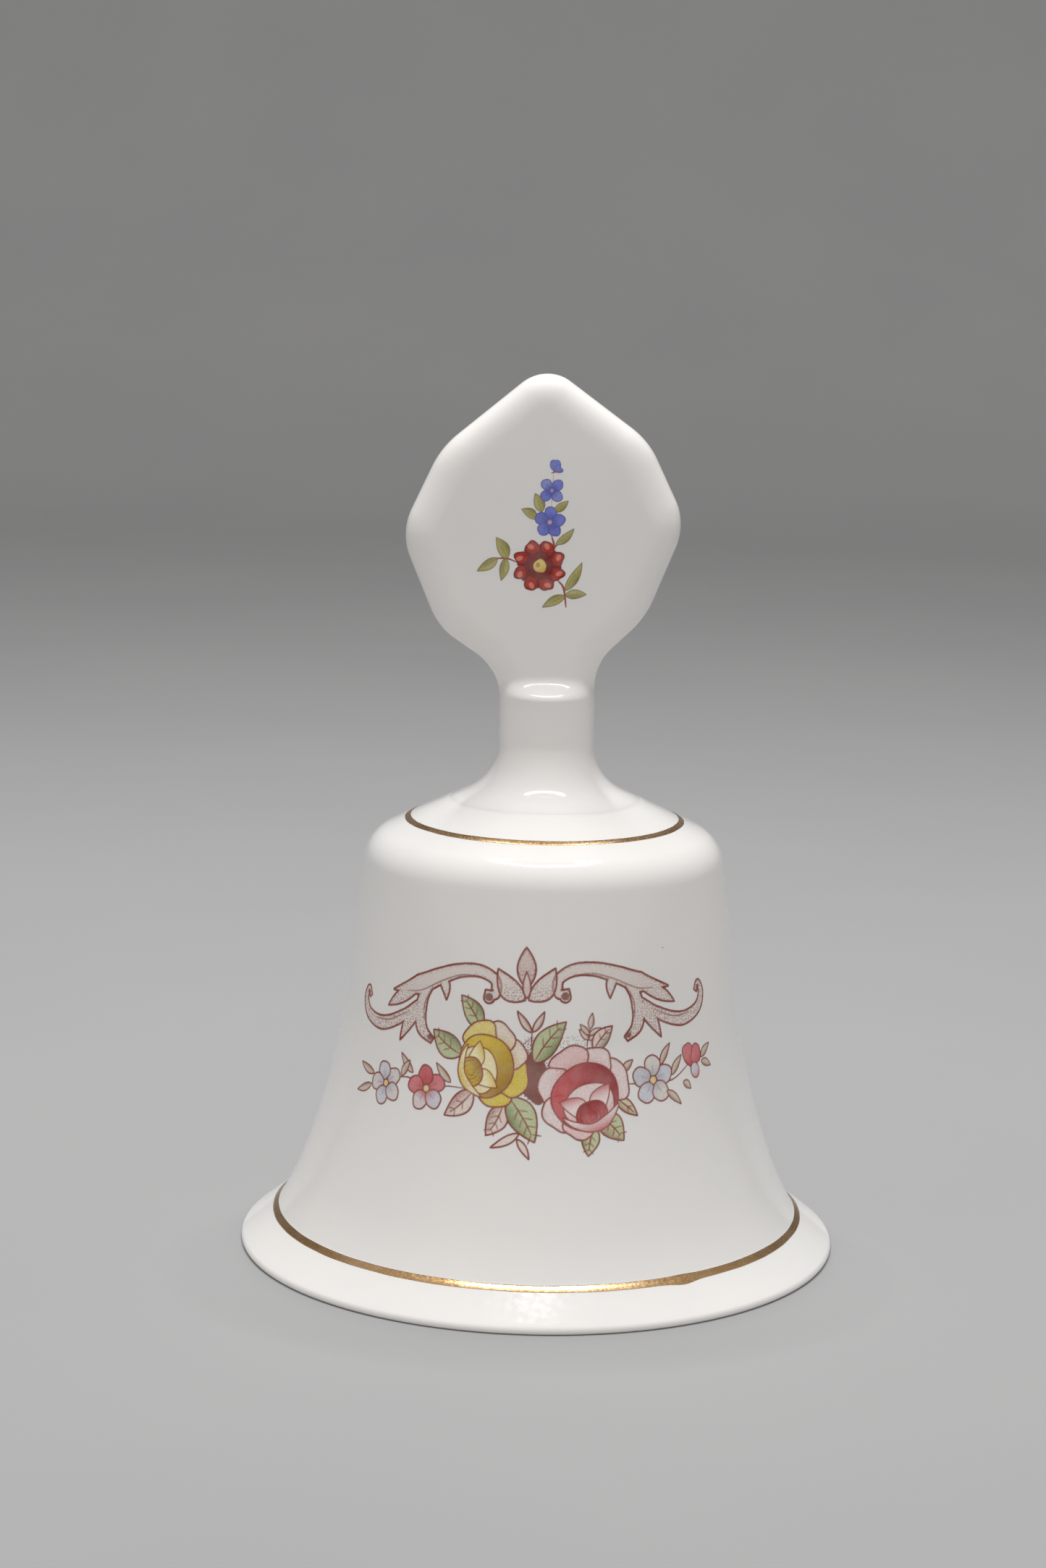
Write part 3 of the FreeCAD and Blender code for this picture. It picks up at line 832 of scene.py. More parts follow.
# %% The ground between the roses, thick with dots
win = skirt.window([oval((-0.9, 33.2), 3.2, 5.0)], 1)
ground = skirt.inside(win, oval((-0.7, 32.9), 2.2, 3.6, 0.15, 0.1))
skirt.lay(win, 0.85 * skirt.edge(ground), ink(128, 66, 52))
ground = skirt.inside(win, oval((-0.9, 33.8), 3.0, 4.6, 0.15, 0.05))
skirt.lay(win, 0.9 * skirt.edge(ground) * stipple(skirt, win, 0.4, 0.09), LINE)
for cloud in (oval((-1.2, 37.0), 1.6, 1.8), oval((5.6, 37.6), 2.6, 1.2)):
    win = skirt.window([cloud], 0.5)
    patch = skirt.edge(skirt.inside(win, cloud))
    skirt.lay(win, 0.8 * patch * stipple(skirt, win, 0.45, 0.07), LINE)

print(f"ground: {(skirt.cover > 0.01).mean():.2f} of the film inked so far")

# %% Sprigs, stems and leaves behind the flowers
stroke(skirt, [(-1.0, 37.0), (-0.95, 38.1), (-0.9, 39.2)], 0.17)
leaf(skirt, (-1.0, 39.1), (-3.2, 42.0), 1.0, PALE, OLIVE, 0.1, 0, strength=0.6)
leaf(skirt, (-0.8, 39.2), (0.9, 42.0), 1.0, PALE, OLIVE, -0.1, 0, strength=0.6)
sprig(skirt, (7.4, 36.8), (7.9, 39.6), 2, 2.2)
for base, tip, width, fill, shade, bend, veins, dotted in (
    ((8.4, 36.6), (11.4, 39.8), 2.3, PALE, GREEN_DEEP, 0.2, 2, 0.6),
    ((-8.7, 39.2), (-12.2, 43.6), 2.9, GREEN, GREEN_DEEP, -0.3, 3, 0.5),
    ((-11.6, 35.2), (-16.6, 38.2), 3.4, GREEN, GREEN_DEEP, 0.3, 3, 0.5),
    ((-0.5, 34.9), (4.2, 40.6), 3.4, GREEN, GREEN_DEEP, 0.4, 3, 0.5),
    ((-9.4, 30.4), (-13.4, 26.6), 2.9, PALE, ink(180, 120, 110), 0.3, 2, 0.8),
    ((-4.8, 28.9), (-7.0, 24.5), 2.9, PALE, OLIVE, 0.3, 3, 0.8),
    ((-4.0, 29.9), (-0.2, 23.9), 4.0, GREEN, GREEN_DEEP, 0.3, 4, 0.4),
    ((8.1, 26.0), (7.2, 22.0), 2.5, GREEN, GREEN_DEEP, -0.1, 3, 0),
    ((9.0, 27.4), (12.4, 23.8), 3.4, GREEN, OLIVE, 0.3, 3, 0.8),
    ((11.7, 29.6), (14.8, 27.0), 1.7, ink(214, 212, 176), OLIVE, 0.1, 1, 0),
    ((-2.4, 25.0), (-6.2, 22.9), 1.1, PALE, None, 0.1, 0, 0),
    ((-2.6, 24.2), (-0.9, 21.6), 0.9, PALE, None, 0.1, 0, 0),
):
    leaf(skirt, base, tip, width, fill, shade, bend, veins, dotted=dotted)

# %% The side sprays
stroke(skirt, [(-10.4, 30.6), (-13.4, 30.6), (-16.8, 29.9), (-20.6, 30.8), (-25.0, 29.4)], 0.2)
stroke(skirt, [(12.4, 31.6), (15.0, 31.4), (17.9, 31.4), (21.4, 31.2), (25.2, 33.0)], 0.2)
GREY_BLUE, ROSY, ROSY_DEEP = ink(214, 216, 224), ink(216, 120, 126), ink(188, 62, 70)
ROSY_WARM, PINK_GREY, LILAC_GREY = ink(206, 92, 100), ink(226, 214, 216), ink(214, 210, 220)
for centre, radius, fills, shade, turned_by in (
    ((-16.9, 29.8), 3.1, [ROSY, ROSY_WARM, ROSY, PINK_GREY, LILAC_GREY], ROSY_DEEP, 0.5),
    ((-24.6, 29.2), 3.0, [ink(222, 216, 212), GREY_BLUE], ink(172, 176, 194), 0.7),
    ((17.9, 31.6), 3.4, [GREY_BLUE, ink(226, 220, 214), ink(204, 206, 212)], ink(170, 174, 190), 0.3),
):
    blossom(skirt, centre, radius, fills, shade, turned_by)
for bud, fill, shade in (
    (oval((25.2, 34.2), 1.2, 1.7, 0.3, 0.06), ROSY, ROSY_DEEP),
    (oval((26.8, 34.0), 1.1, 1.5, -0.3, 0.06), ROSY, ROSY_DEEP),
    (oval((26.3, 31.8), 0.9, 1.1, 0.2), ink(216, 214, 222), ROSY),
):
    shape(skirt, bud, fill=fill, shade=shade, line=0.18)
for base, tip in (
    ((-27.6, 30.0), (-31.2, 30.9)), ((-27.8, 28.4), (-31.0, 26.9)), ((-19.6, 31.6), (-22.2, 34.0)),
    ((-21.6, 30.8), (-20.4, 33.2)), ((19.4, 33.6), (21.4, 36.4)), ((21.4, 31.9), (23.6, 34.4)),
    ((20.2, 29.8), (22.6, 27.6)), ((28.0, 33.4), (30.4, 35.0)), ((28.0, 32.8), (30.2, 31.8)),
    ((12.9, 33.2), (14.6, 34.8)), ((-13.0, 31.2), (-15.6, 33.6)), ((23.6, 30.6), (24.9, 29.4)),
):
    leaf(skirt, base, tip, 1.05, ink(222, 206, 188), OLIVE, 0.12, 0, strength=0.6, line=0.18)

# %% The two roses
CREAM, LEMON, ROSY_WHITE = ink(240, 226, 208), ink(228, 204, 66), ink(240, 222, 220)
YELLOW = (
    ink(246, 236, 190), ink(218, 186, 24), ink(150, 104, 12),
    [LEMON, LEMON, CREAM, CREAM, ink(236, 218, 130)], ink(206, 168, 20),
)
PINK = (
    ROSY_WHITE, ink(196, 60, 66), ink(136, 12, 22),
    [ROSY_WHITE, ROSY_WHITE, ink(238, 204, 202)], ink(214, 132, 132),
)
YELLOW_BACK = [(-95, 0.9), (-50, 1.0), (0, 0.8), (45, 0.9), (85, 0.95)]
PINK_BACK = [(-88, 0.95), (-40, 0.8), (10, 0.95), (60, 0.9), (108, 0.85), (150, 0.7)]
rose(skirt, (-7.3, 34.3), 5.6, math.radians(205), YELLOW, YELLOW_BACK)
rose(skirt, (7.0, 30.6), 6.3, math.radians(-72), PINK, PINK_BACK)
print("skirt film:", skirt.cover.shape, f"{(skirt.cover > 0.01).mean():.2f} inked")

# %% The handle's film, drawn
paddle = Film((-11.6, 95.4), (6.8, 119.0), 0.085, 0.1)
BLUE, BLUE_DEEP, RED, RED_DEEP = ink(112, 126, 214), ink(64, 70, 164), ink(178, 38, 24), ink(116, 12, 8)
STEM, LEAF_A, LEAF_B = ink(160, 50, 40), ink(184, 178, 110), ink(122, 112, 46)
stroke(paddle, [(0.2, 106.8), (0.6, 105.4), (0.4, 104.2)], 0.28, STEM)
stroke(paddle, [(0.6, 105.0), (1.2, 105.8)], 0.2, STEM)
stroke(paddle, [(-4.8, 102.9), (-6.2, 103.4), (-7.9, 103.4)], 0.22, STEM)
stroke(paddle, [(1.2, 100.4), (2.1, 99.2), (2.5, 96.5)], 0.26, STEM)
stroke(paddle, [(0.1, 111.0), (0.3, 115.6)], 0.12, STEM, 0.5)
for base, tip, width, bend in (
    ((-1.3, 110.3), (-2.3, 112.9), 1.5, -0.1), ((-2.0, 109.3), (-4.2, 110.6), 1.3, -0.2),
    ((0.5, 110.4), (2.5, 111.9), 1.1, -0.1), ((0.9, 105.6), (3.4, 107.9), 1.1, -0.2),
    ((-6.2, 103.4), (-7.8, 106.4), 1.7, -0.2), ((-7.6, 103.4), (-10.5, 101.5), 1.4, 0.1),
    ((-6.4, 103.4), (-7.0, 100.2), 1.3, 0.1), ((2.3, 98.9), (4.7, 103.0), 1.3, -0.2),
    ((2.4, 98.2), (5.4, 98.4), 1.3, 0.1), ((2.3, 98.1), (-0.9, 96.4), 1.3, -0.1),
):
    leaf(paddle, base, tip, width, LEAF_A, LEAF_B, bend, 0, pen=ink(140, 112, 60), line=0.1, deep=0.75)
    stroke(paddle, [base, np.array(base) * 0.4 + np.array(tip) * 0.6], 0.12, ink(120, 96, 50), 0.6)
for centre, radius, fills, turned_by, petals, middle_ink, pen in (
    ((-0.1, 108.8), 2.15, [BLUE, ink(108, 116, 200)], 1.5, 5, ink(200, 170, 190), ink(78, 76, 160)),
    ((0.1, 113.4), 1.85, [BLUE, ink(134, 144, 214)], 0.75, 4, ink(168, 150, 196), ink(84, 84, 168)),
):
    blossom(paddle, centre, radius, fills, BLUE_DEEP, turned_by, petals, middle_ink, pen, 0.12)
bud = oval((0.55, 117.0), 0.75, 0.85, 0.2, 0.08)
shape(paddle, bud, fill=BLUE, shade=BLUE_DEEP, line=0.1, pen=ink(90, 92, 172))
shape(paddle, oval((1.1, 116.4), 0.6, 0.4, -0.3), fill=BLUE, shade=BLUE_DEEP, line=0.0)
stroke(paddle, [(0.0, 115.9), (0.6, 116.1), (1.2, 116.0)], 0.22, ink(150, 60, 90))
print(f"sprays: {(paddle.cover > 0.01).mean():.2f} of the paddle's film inked so far")

# %% The red flower
flower = np.array([-1.5, 102.4])
PETALS, FIRST_PETAL, BLUSH = 8, 0.35, ink(226, 128, 104)


def petal_direction(k):
    """(cos a, sin a) and a for petal k, or between two petals for a half k."""
    a = FIRST_PETAL + 2 * np.pi * k / PETALS
    return np.array([math.cos(a), math.sin(a)]), a


for k in range(PETALS):
    out, a = petal_direction(k)
    petal = oval(flower + out * 2.3, 1.5, 1.05, a + 0.25, 0.08)
    shape(paddle, petal, fill=RED, shade=RED_DEEP, toward=-out, line=0.2, pen=RED_DEEP, deep=0.85,
          strength=1.0)
    blush = oval(flower + out * 3.05 + np.array([-out[1], out[0]]) * 0.25, 0.5, 0.34, a + 0.9)
    shape(paddle, blush, fill=BLUSH, line=0.0, strength=0.9)
shape(paddle, oval(flower, 2.05, 2.05, 0.2, 0.06), fill=RED_DEEP, line=0.0, strength=0.95)
for k in range(PETALS):
    out, a = petal_direction(k + 0.5)
    stroke(paddle, [flower + out * 1.3, flower + out * 3.1], 0.42, RED_DEEP, 0.9)
centre_spot = oval(flower + (0.1, 0.0), 1.0, 1.05, 0.3, 0.05)
shape(paddle, centre_spot, fill=ink(236, 212, 118), shade=ink(196, 150, 50), line=0.16, pen=RED_DEEP)
shape(paddle, oval(flower + (-0.2, 0.15), 0.3, 0.35), fill=ink(180, 110, 40), line=0.0, strength=0.8)
print("paddle film:", paddle.cover.shape, f"{(paddle.cover > 0.01).mean():.2f} inked")

# %% [markdown]
# The film becomes a mesh only where there is ink. Its face lies 0.015 mm over the
# glaze and its back just under it, and short walls join the two at the edge of each
# patch, so it is a closed sheet like any other piece. The skirt's print is made in two
# halves, because one piece should stay under 200,000 triangles.

# %% From film to mesh
FACE_RISE, BACK_RISE, LEAST_INK = 0.015, -0.025, 0.004


def wrap_on_skirt(u, v, rise):
    """Film distance u becomes the angle u / girth round the bell, and v the height."""
    radius = np.interp(v, outer[:, 1], outer[:, 0]) + rise
    angle = u / GIRTH
    return np.stack([radius * np.sin(angle), -radius * np.cos(angle), v], -1)


def press_on_paddle(u, v, rise):
    """The film lies flat on the paddle's front face."""
    return np.stack([u, 0 * u - PADDLE_THICKNESS / 2 - rise, v], -1)


def film_piece(name, film, wrap, first=-np.inf, last=np.inf):
    """Face, back and edge walls of the inked cells between two u, with ink and cover per point."""
    inked = film.cover > LEAST_INK
    cells = inked[:-1, :-1] | inked[1:, :-1] | inked[:-1, 1:] | inked[1:, 1:]
    cells &= (film.u[:-1, :-1] >= first) & (film.u[:-1, :-1] < last)
    number = np.arange(film.u.size).reshape(film.u.shape)
    a, b, c, d = number[:-1, :-1], number[:-1, 1:], number[1:, 1:], number[1:, :-1]
    padded = np.pad(cells, 1)
    below, above = padded[:-2, 1:-1], padded[2:, 1:-1]
    left, right = padded[1:-1, :-2], padded[1:-1, 2:]
    back = film.u.size
    walls = [
        np.stack([one, one + back, two + back, two], -1)[cells & ~neighbour]
        for one, two, neighbour in ((a, b, below), (b, c, right), (c, d, above), (d, a, left))
    ]
    face = np.stack([a, b, c, d], -1)[cells]
    faces = np.concatenate([face, face[:, ::-1] + back] + walls)
    points = np.concatenate([wrap(film.u, film.v, r).reshape(-1, 3) for r in (FACE_RISE, BACK_RISE)])
    used, faces = np.unique(faces, return_inverse=True)
    piece = new_piece(name, points[used], [faces.reshape(-1, 4)], sharp=60)
    colour = np.tile(film.colour.reshape(-1, 3), (2, 1))[used]
    cover = np.tile(film.cover.ravel(), 2)[used]
    layer = piece.data.color_attributes.new("Ink", "FLOAT_COLOR", "POINT")
    rgba = np.column_stack([colour, np.ones(len(used))]).astype(np.float32)
    layer.data.foreach_set("color", rgba.ravel())
    amount = piece.data.attributes.new("Cover", "FLOAT", "POINT")
    amount.data.foreach_set("value", np.clip(cover, 0, 1).astype(np.float32))
    return piece


skirt_print_left = film_piece("skirt_print_left", skirt, wrap_on_skirt, last=MOTIF_MIDDLE)
skirt_print_right = film_piece("skirt_print_right", skirt, wrap_on_skirt, first=MOTIF_MIDDLE)
handle_print = film_piece("handle_print", paddle, press_on_paddle)

# %% [markdown]
# ## Finishes
#
# Glaze is never one flat white. It pools and thins, so its colour drifts by a percent
# or two over a few centimetres, its surface ripples very slightly, and here and there
# a speck is caught in it. That effect is shared by the shell, the handle and the ball,
# so it is a node group that only gives colours and numbers. The shader stays in each
# material.

# %% Node helpers
def new_material(name, **socket_values):
    """A node material with the shader's own sockets set to the values given."""
    material = bpy.data.materials.new(name)
    material.use_nodes = True
    shader = material.node_tree.nodes["Principled BSDF"]
    for socket, value in socket_values.items():
        shader.inputs[socket.replace("_", " ")].default_value = value
    return material, material.node_tree, shader


def node(tree, kind, values=None, **settings):
    """A node with its settings and its numbered or named inputs filled in."""
    made = tree.nodes.new(kind)
    for key, value in settings.items():
        setattr(made, key, value)
    for key, value in (values or {}).items():
        if isinstance(value, bpy.types.NodeSocket):
            tree.links.new(value, made.inputs[key])
        else:
            made.inputs[key].default_value = value
    return made


def feed(tree, target, **sources):
    """Link each source to the target's input of that name."""
    for socket, source in sources.items():
        tree.links.new(source, target.inputs[socket.replace("_", " ")])


def own_place(tree):
    """Where a point is on its own piece, in metres."""
    return node(tree, "ShaderNodeTexCoord").outputs["Object"]


def noise(tree, place, scale, detail=2.0):
    """A smooth random number from 0 to 1, with scale lumps to the metre."""
    values = {"Vector": place, "Scale": scale, "Detail": detail}
    return node(tree, "ShaderNodeTexNoise", values).outputs["Fac"]


def calc(tree, operation, *values, **settings):
    """One operation on numbers or sockets."""
    numbered = dict(enumerate(values))
    return node(tree, "ShaderNodeMath", numbered, operation=operation, **settings).outputs[0]


def dent(tree, shader, height, strength, distance):
    """Bend the shader's normal as a relief of height × distance metres would."""
    values = {"Strength": strength, "Distance": distance, "Height": height}
    feed(tree, shader, Normal=node(tree, "ShaderNodeBump", values).outputs[0])


def mix(tree, factor, low, high):
    """A colour between low and high."""
    return node(tree, "ShaderNodeMix", {0: factor, 6: low, 7: high}, data_type="RGBA").outputs[2]


def spread(tree, value, low, high, out_low, out_high):
    """A straight line from (low, out_low) to (high, out_high), held at its ends."""
    ends = {1: low, 2: high, 3: out_low, 4: out_high}
    return node(tree, "ShaderNodeMapRange", {0: value, **ends}).outputs[0]


def group(name, inputs, outputs):
    """An empty node group with named number inputs and typed outputs."""
    tree = bpy.data.node_groups.new(name, "ShaderNodeTree")
    for label, kind, value in inputs:
        tree.interface.new_socket(label, in_out="INPUT", socket_type=kind).default_value = value
    for label, kind in outputs:
        tree.interface.new_socket(label, in_out="OUTPUT", socket_type=kind)
    return tree, node(tree, "NodeGroupInput"), node(tree, "NodeGroupOutput")


def place_group(tree, group_tree, **values):
    """The group in a material, with its inputs set to the values given."""
    made = node(tree, "ShaderNodeGroup", node_tree=group_tree)
    for label, value in values.items():
        made.inputs[label.replace("_", " ")].default_value = value
    return made

# %% Glaze that drifts, ripples and catches specks
SPECK = (0.2, 0.17, 0.14, 1)
glaze_tree, given, result = group(
    "glaze_character",
    [("Body", "NodeSocketColor", (0.8, 0.79, 0.77, 1)),
     ("Pooled", "NodeSocketColor", (0.76, 0.76, 0.76, 1)),
     ("Drift", "NodeSocketFloat", 1.0), ("Specks", "NodeSocketFloat", 1.0)],
    [("Colour", "NodeSocketColor"), ("Roughness", "NodeSocketFloat"), ("Height", "NodeSocketFloat")],
)
place = own_place(glaze_tree)
slow = noise(glaze_tree, place, 28.0, 3.0)
fine = noise(glaze_tree, place, 900.0)
peel = noise(glaze_tree, place, 260.0, 1.0)
pooling = spread(glaze_tree, slow, 0.38, 0.64, 0, 1)
pooling = calc(glaze_tree, "MULTIPLY", pooling, given.outputs["Drift"])
colour = mix(glaze_tree, pooling, given.outputs["Body"], given.outputs["Pooled"])
cells = node(glaze_tree, "ShaderNodeTexVoronoi", {"Vector": place, "Scale": 170.0})
spot = spread(glaze_tree, cells.outputs["Distance"], 0.012, 0.03, 1, 0)
chance = node(glaze_tree, "ShaderNodeSeparateColor", {0: cells.outputs["Color"]}).outputs[0]
speck = calc(glaze_tree, "MULTIPLY", spot, spread(glaze_tree, chance, 0.93, 0.94, 0, 1))
speck = calc(glaze_tree, "MULTIPLY", speck, given.outputs["Specks"])
feed(glaze_tree, result, Colour=mix(glaze_tree, speck, colour, SPECK),
     Roughness=spread(glaze_tree, fine, 0.3, 0.7, 0.06, 0.11),
     Height=calc(glaze_tree, "MULTIPLY_ADD", peel, 0.6, speck))
print("glaze group:", len(glaze_tree.nodes), "nodes")

# %% Glazed porcelain
RAGGED, BARE_FADE = 0.00012, 0.00008
BISCUIT, BISCUIT_PALE = (0.62, 0.57, 0.49, 1), (0.78, 0.74, 0.67, 1)


def glazed(name, body, pooled, foot_height=None, drift=1.0, specks=1.0):
    """Glazed china, bare and matt below foot_height where the foot was ground flat."""
    material, tree, shader = new_material(
        name, IOR=1.52, Subsurface_Weight=0.12, Subsurface_Radius=(1.0, 0.85, 0.7),
        Subsurface_Scale=0.0025,
    )
    look = place_group(tree, glaze_tree, Body=body, Pooled=pooled, Drift=drift, Specks=specks)
    colour, roughness = look.outputs["Colour"], look.outputs["Roughness"]
    if foot_height is not None:
        place = own_place(tree)
        up = node(tree, "ShaderNodeSeparateXYZ", {0: place}).outputs[2]
        edge = calc(tree, "MULTIPLY_ADD", noise(tree, place, 600.0), RAGGED, up)
        bare = spread(tree, edge, foot_height, foot_height + BARE_FADE, 1, 0)
        biscuit = mix(tree, noise(tree, place, 2500.0, 4.0), BISCUIT, BISCUIT_PALE)
        colour = mix(tree, bare, colour, biscuit)
        roughness = node(tree, "ShaderNodeMix", {0: bare, 2: roughness, 3: 0.75}).outputs[0]
    feed(tree, shader, Base_Color=colour, Roughness=roughness)
    dent(tree, shader, look.outputs["Height"], 0.12, 0.00008)
    return material


CHINA, CHINA_POOLED = (0.825, 0.805, 0.78, 1), (0.795, 0.782, 0.762, 1)
body_glaze = glazed("body_glaze", CHINA, CHINA_POOLED, foot_height=0.00016)
handle_glaze = glazed("handle_glaze", CHINA, CHINA_POOLED, specks=0.7)
ball_glaze = glazed("ball_glaze", (0.8, 0.79, 0.77, 1), (0.74, 0.73, 0.71, 1), specks=1.0)

# %% [markdown]
# Fired gold is a metal skin with the fine marks of the banding brush along it. It is
# duller and browner where it is thin, at its edges and in patches, and brighter where
# it was burnished. The streaks follow the line round the bell, so the material takes
# the height, which runs across the line, and squeezes it hard.

# %% Gilding
GOLD_THIN, GOLD_RICH, GOLD_WORN = (0.58, 0.35, 0.16, 1), (0.78, 0.52, 0.29, 1), (0.36, 0.21, 0.11, 1)
STREAKS_ROUND, STREAKS_ACROSS = 9.0, 2200.0
gilding, tree, shader = new_material("gilding", Metallic=1.0)
place = own_place(tree)
x, y, z = node(tree, "ShaderNodeSeparateXYZ", {0: place}).outputs
along = calc(tree, "MULTIPLY", calc(tree, "ARCTAN2", y, x), STREAKS_ROUND)
across = calc(tree, "MULTIPLY", z, STREAKS_ACROSS)
streaks = noise(tree, node(tree, "ShaderNodeCombineXYZ", {0: along, 1: across}).outputs[0], 2.0, 4.0)
patches, grain = noise(tree, place, 140.0, 3.0), noise(tree, place, 2600.0)
rich = mix(tree, spread(tree, patches, 0.38, 0.66, 0, 1), GOLD_THIN, GOLD_RICH)
worn = mix(tree, spread(tree, streaks, 0.55, 0.8, 0, 0.6), rich, GOLD_WORN)
feed(tree, shader, Base_Color=worn, Roughness=spread(tree, grain, 0.3, 0.7, 0.17, 0.34))
dent(tree, shader, streaks, 0.25, 0.00004)
print("gilding:", len(tree.nodes), "nodes")

# %% [markdown]
# The enamel print shows its ink only where the film carries some. A fine grain breaks
# the ink up, as a screened transfer does, and the fired colour is as glossy as the
# glaze round it.

# %% Printed enamel
printed_enamel, tree, shader = new_material("printed_enamel", IOR=1.52)
place = own_place(tree)
ink_colour = node(tree, "ShaderNodeAttribute", attribute_name="Ink").outputs["Color"]
ink_cover = node(tree, "ShaderNodeAttribute", attribute_name="Cover").outputs["Fac"]
screen = spread(tree, noise(tree, place, 3800.0), 0.3, 0.7, 0.86, 1.1)
fading = spread(tree, noise(tree, place, 420.0), 0.35, 0.65, 0, 0.1)
feed(tree, shader, Base_Color=mix(tree, fading, ink_colour, (0.78, 0.74, 0.7, 1)),
     Alpha=calc(tree, "MULTIPLY", ink_cover, screen, use_clamp=True),
     Roughness=spread(tree, screen, 0.86, 1.1, 0.10, 0.16))

# %% Brass wire and plaster
BRASS_CLEAN, BRASS_DULL = (0.74, 0.55, 0.26, 1), (0.36, 0.25, 0.12, 1)
brass, tree, shader = new_material("brass_wire", Metallic=1.0)
place = own_place(tree)
dull, scratch = noise(tree, place, 320.0, 4.0), noise(tree, place, 3000.0)
feed(tree, shader, Base_Color=mix(tree, spread(tree, dull, 0.42, 0.66, 0, 1), BRASS_CLEAN, BRASS_DULL),
     Roughness=spread(tree, dull, 0.35, 0.7, 0.24, 0.5))
dent(tree, shader, scratch, 0.2, 0.00003)

PLASTER_DARK, PLASTER_PALE = (0.66, 0.62, 0.54, 1), (0.84, 0.82, 0.77, 1)
plaster, tree, shader = new_material("plaster")
lumps = noise(tree, own_place(tree), 500.0, 5.0)
feed(tree, shader, Base_Color=mix(tree, lumps, PLASTER_DARK, PLASTER_PALE),
     Roughness=spread(tree, lumps, 0.3, 0.7, 0.7, 0.95))
dent(tree, shader, lumps, 0.6, 0.0003)
print("materials:", [m.name for m in bpy.data.materials])

# %% [markdown]
# ## Onto the bodies
#
# Each smooth piece takes the place of its faceted solid, rides on the same body, and
# gets its material. The gilt lines and the prints are new pieces that ride on the bell.

# %% Ride, replace and finish
for piece, body, solid, finish, material in (
    (shell, "bell", "bell_shell", "body_glaze", body_glaze),
    (handle, "bell", "handle", "handle_glaze", handle_glaze),
    (plug, "bell", "hanger_plug", "plaster", plaster),
    (eye, "bell", "hanger_eye", "brass_wire", brass),
    (ring, "ring", "swing_ring", "brass_wire", brass),
    (rod, "clapper", "clapper_rod", "brass_wire", brass),
    (stop, "clapper", "ball_stop", "brass_wire", brass),
    (ball, "ball", "clapper_ball", "ball_glaze", ball_glaze),
    (lower_gilt, "bell", None, "gilding", gilding),
    (upper_gilt, "bell", None, "gilding", gilding),
    (skirt_print_left, "bell", None, "printed_enamel", printed_enamel),
    (skirt_print_right, "bell", None, "printed_enamel", printed_enamel),
    (handle_print, "bell", None, "printed_enamel", printed_enamel),
):
    piece.data.materials.append(material)
    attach(piece, body)
    if solid:
        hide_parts(solid)
    print(piece.name, "rides on", body)

# %% [markdown]
# ## Stage, lights and camera
#
# The stage is a pale paper sweep: a floor that curves up into a wall, so there is no
# horizon. A ring of small lamps hangs overhead, a little behind the bell. It lights
# the shoulder and the lip, and leaves the upright skirt a little greyer. The room
# itself gives a soft light, brighter in front, that fills the rest.

# %% The paper sweep
FLOOR_FRONT, FLOOR_BACK, CURVE, WALL_TOP, HALF_SPAN, COLUMNS = -1.6, 1.1, 0.6, 2.4, 2.4, 9


def paper_sweep():
    """A strip whose cross-section is floor, quarter circle and wall, carried sideways."""
    floor = np.linspace(FLOOR_FRONT, FLOOR_BACK, 12)
    curve = np.linspace(0, np.pi / 2, 24)[1:]
    y = np.concatenate([floor, FLOOR_BACK + CURVE * np.sin(curve), [FLOOR_BACK + CURVE] * 2])
    z = np.concatenate([0 * floor, CURVE * (1 - np.cos(curve)), [WALL_TOP - 1.0, WALL_TOP]])
    x = np.linspace(-HALF_SPAN, HALF_SPAN, COLUMNS)
    grid = np.stack(np.broadcast_arrays(x[None], y[:, None], z[:, None]), -1).reshape(-1, 3)
    corner = np.arange(len(y) - 1)[:, None] * COLUMNS + np.arange(COLUMNS - 1)
    quads = np.stack([corner, corner + 1, corner + COLUMNS + 1, corner + COLUMNS], -1)
    return new_piece("paper_sweep", grid / MM, [quads.reshape(-1, 4)], 180)


sweep = paper_sweep()
paper, tree, shader = new_material("paper", Roughness=0.9)
fibres = noise(tree, own_place(tree), 9.0, 5.0)
feed(tree, shader, Base_Color=mix(tree, fibres, (0.32, 0.32, 0.325, 1), (0.35, 0.35, 0.35, 1)))
sweep.data.materials.append(paper)

# %% The ring of lamps
RING_LAMPS, RING_RADIUS, RING_HEIGHT, RING_BACK, RING_POWER = 36, 0.17, 0.72, 0.09, 5.0
LAMP_SIZE = 0.02


def disk_lamp(name, place, target, power):
    """A small round lamp at a place in metres, turned to face its target."""
    lamp = bpy.data.lights.new(name, "AREA")
    lamp.shape, lamp.size, lamp.energy = "DISK", LAMP_SIZE, power
    made = bpy.data.objects.new(name, lamp)
    made.location = place
    made.rotation_euler = (target - place).to_track_quat("-Z", "Y").to_euler()
    bpy.context.scene.collection.objects.link(made)


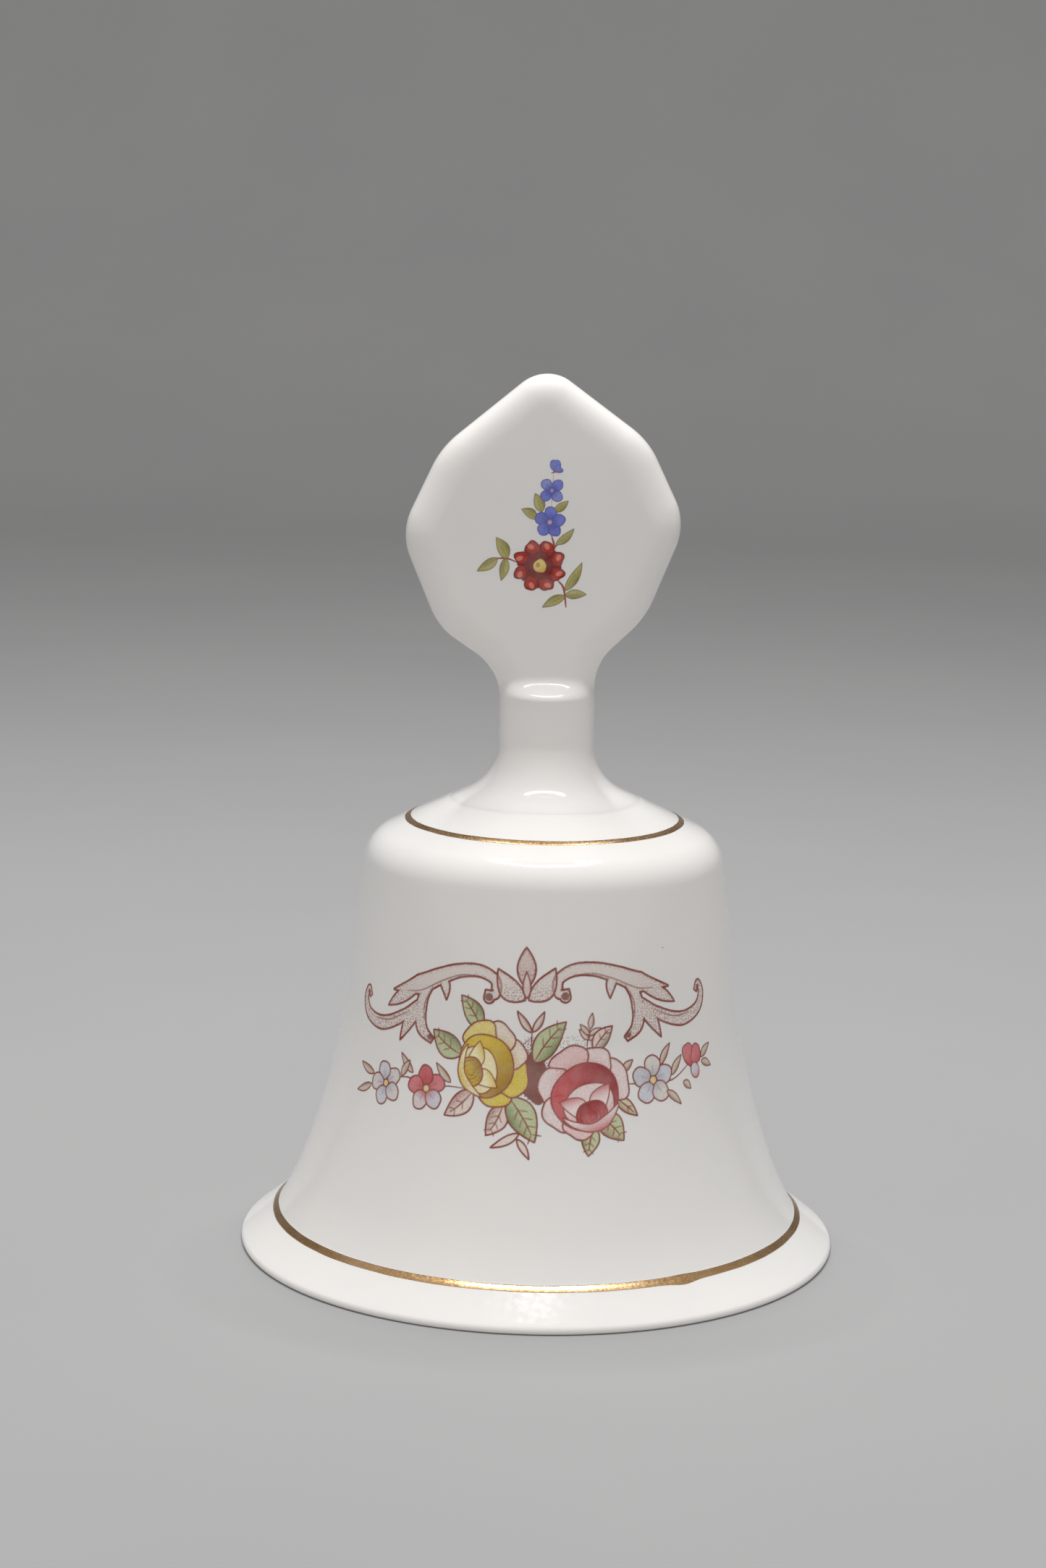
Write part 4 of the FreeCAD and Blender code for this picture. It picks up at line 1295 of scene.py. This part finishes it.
middle = (cad_box[0] + cad_box[1]) / 2
for k in range(RING_LAMPS):
    turned_by = 2 * math.pi * k / RING_LAMPS
    x, y = RING_RADIUS * math.cos(turned_by), RING_RADIUS * math.sin(turned_by)
    spot = Vector((x, y + RING_BACK, RING_HEIGHT))
    disk_lamp(f"ring_lamp_{k:02d}", spot, middle, RING_POWER / RING_LAMPS)
print(RING_LAMPS, "lamps of", round(RING_POWER / RING_LAMPS, 3), "W")

# %% The room's light
FRONT_STRENGTH, BACK_STRENGTH = 0.88, 0.15
world = bpy.data.worlds.new("soft_room")
world.use_nodes = True
sky, sky_tree = world.node_tree.nodes["Background"], world.node_tree
sky.inputs["Color"].default_value = (1.0, 0.985, 0.97, 1)
direction = node(sky_tree, "ShaderNodeTexCoord").outputs["Generated"]
depth = node(sky_tree, "ShaderNodeSeparateXYZ", {0: direction}).outputs[1]
feed(sky_tree, sky, Strength=spread(sky_tree, depth, -1, 1, FRONT_STRENGTH, BACK_STRENGTH))
bpy.context.scene.world = world
bpy.context.scene.view_settings.view_transform = "Standard"
print("room light from", FRONT_STRENGTH, "in front to", BACK_STRENGTH, "behind")

# %% The camera
CAMERA_PLACE = np.array([4.0, -454.7, 149.6])
PITCH, YAW, ROLL = 9.99, 0.92, 1.13
FOCAL_LENGTH, NEAREST, FARTHEST = 71.45, 0.01, 20
p, w, r = (math.radians(v) for v in (PITCH, YAW, ROLL))
forward = np.array([-math.sin(w) * math.cos(p), math.cos(w) * math.cos(p), -math.sin(p)])
right = np.array([math.cos(w), math.sin(w), 0.0])
upward = np.array([-math.sin(w) * math.sin(p), math.cos(w) * math.sin(p), math.cos(p)])
right_rolled = math.cos(r) * right + math.sin(r) * upward
up_rolled = math.cos(r) * upward - math.sin(r) * right
optics = bpy.data.cameras.new("camera")
optics.lens, optics.clip_start, optics.clip_end = FOCAL_LENGTH, NEAREST, FARTHEST
camera = bpy.data.objects.new("camera", optics)
turned_to = Matrix([list(row) for row in np.stack([right_rolled, up_rolled, -forward], -1)]).to_4x4()
camera.matrix_world = Matrix.Translation(Vector(CAMERA_PLACE * MM)) @ turned_to
bpy.context.scene.collection.objects.link(camera)
bpy.context.scene.camera = camera
print("camera", [round(v, 3) for v in camera.location])
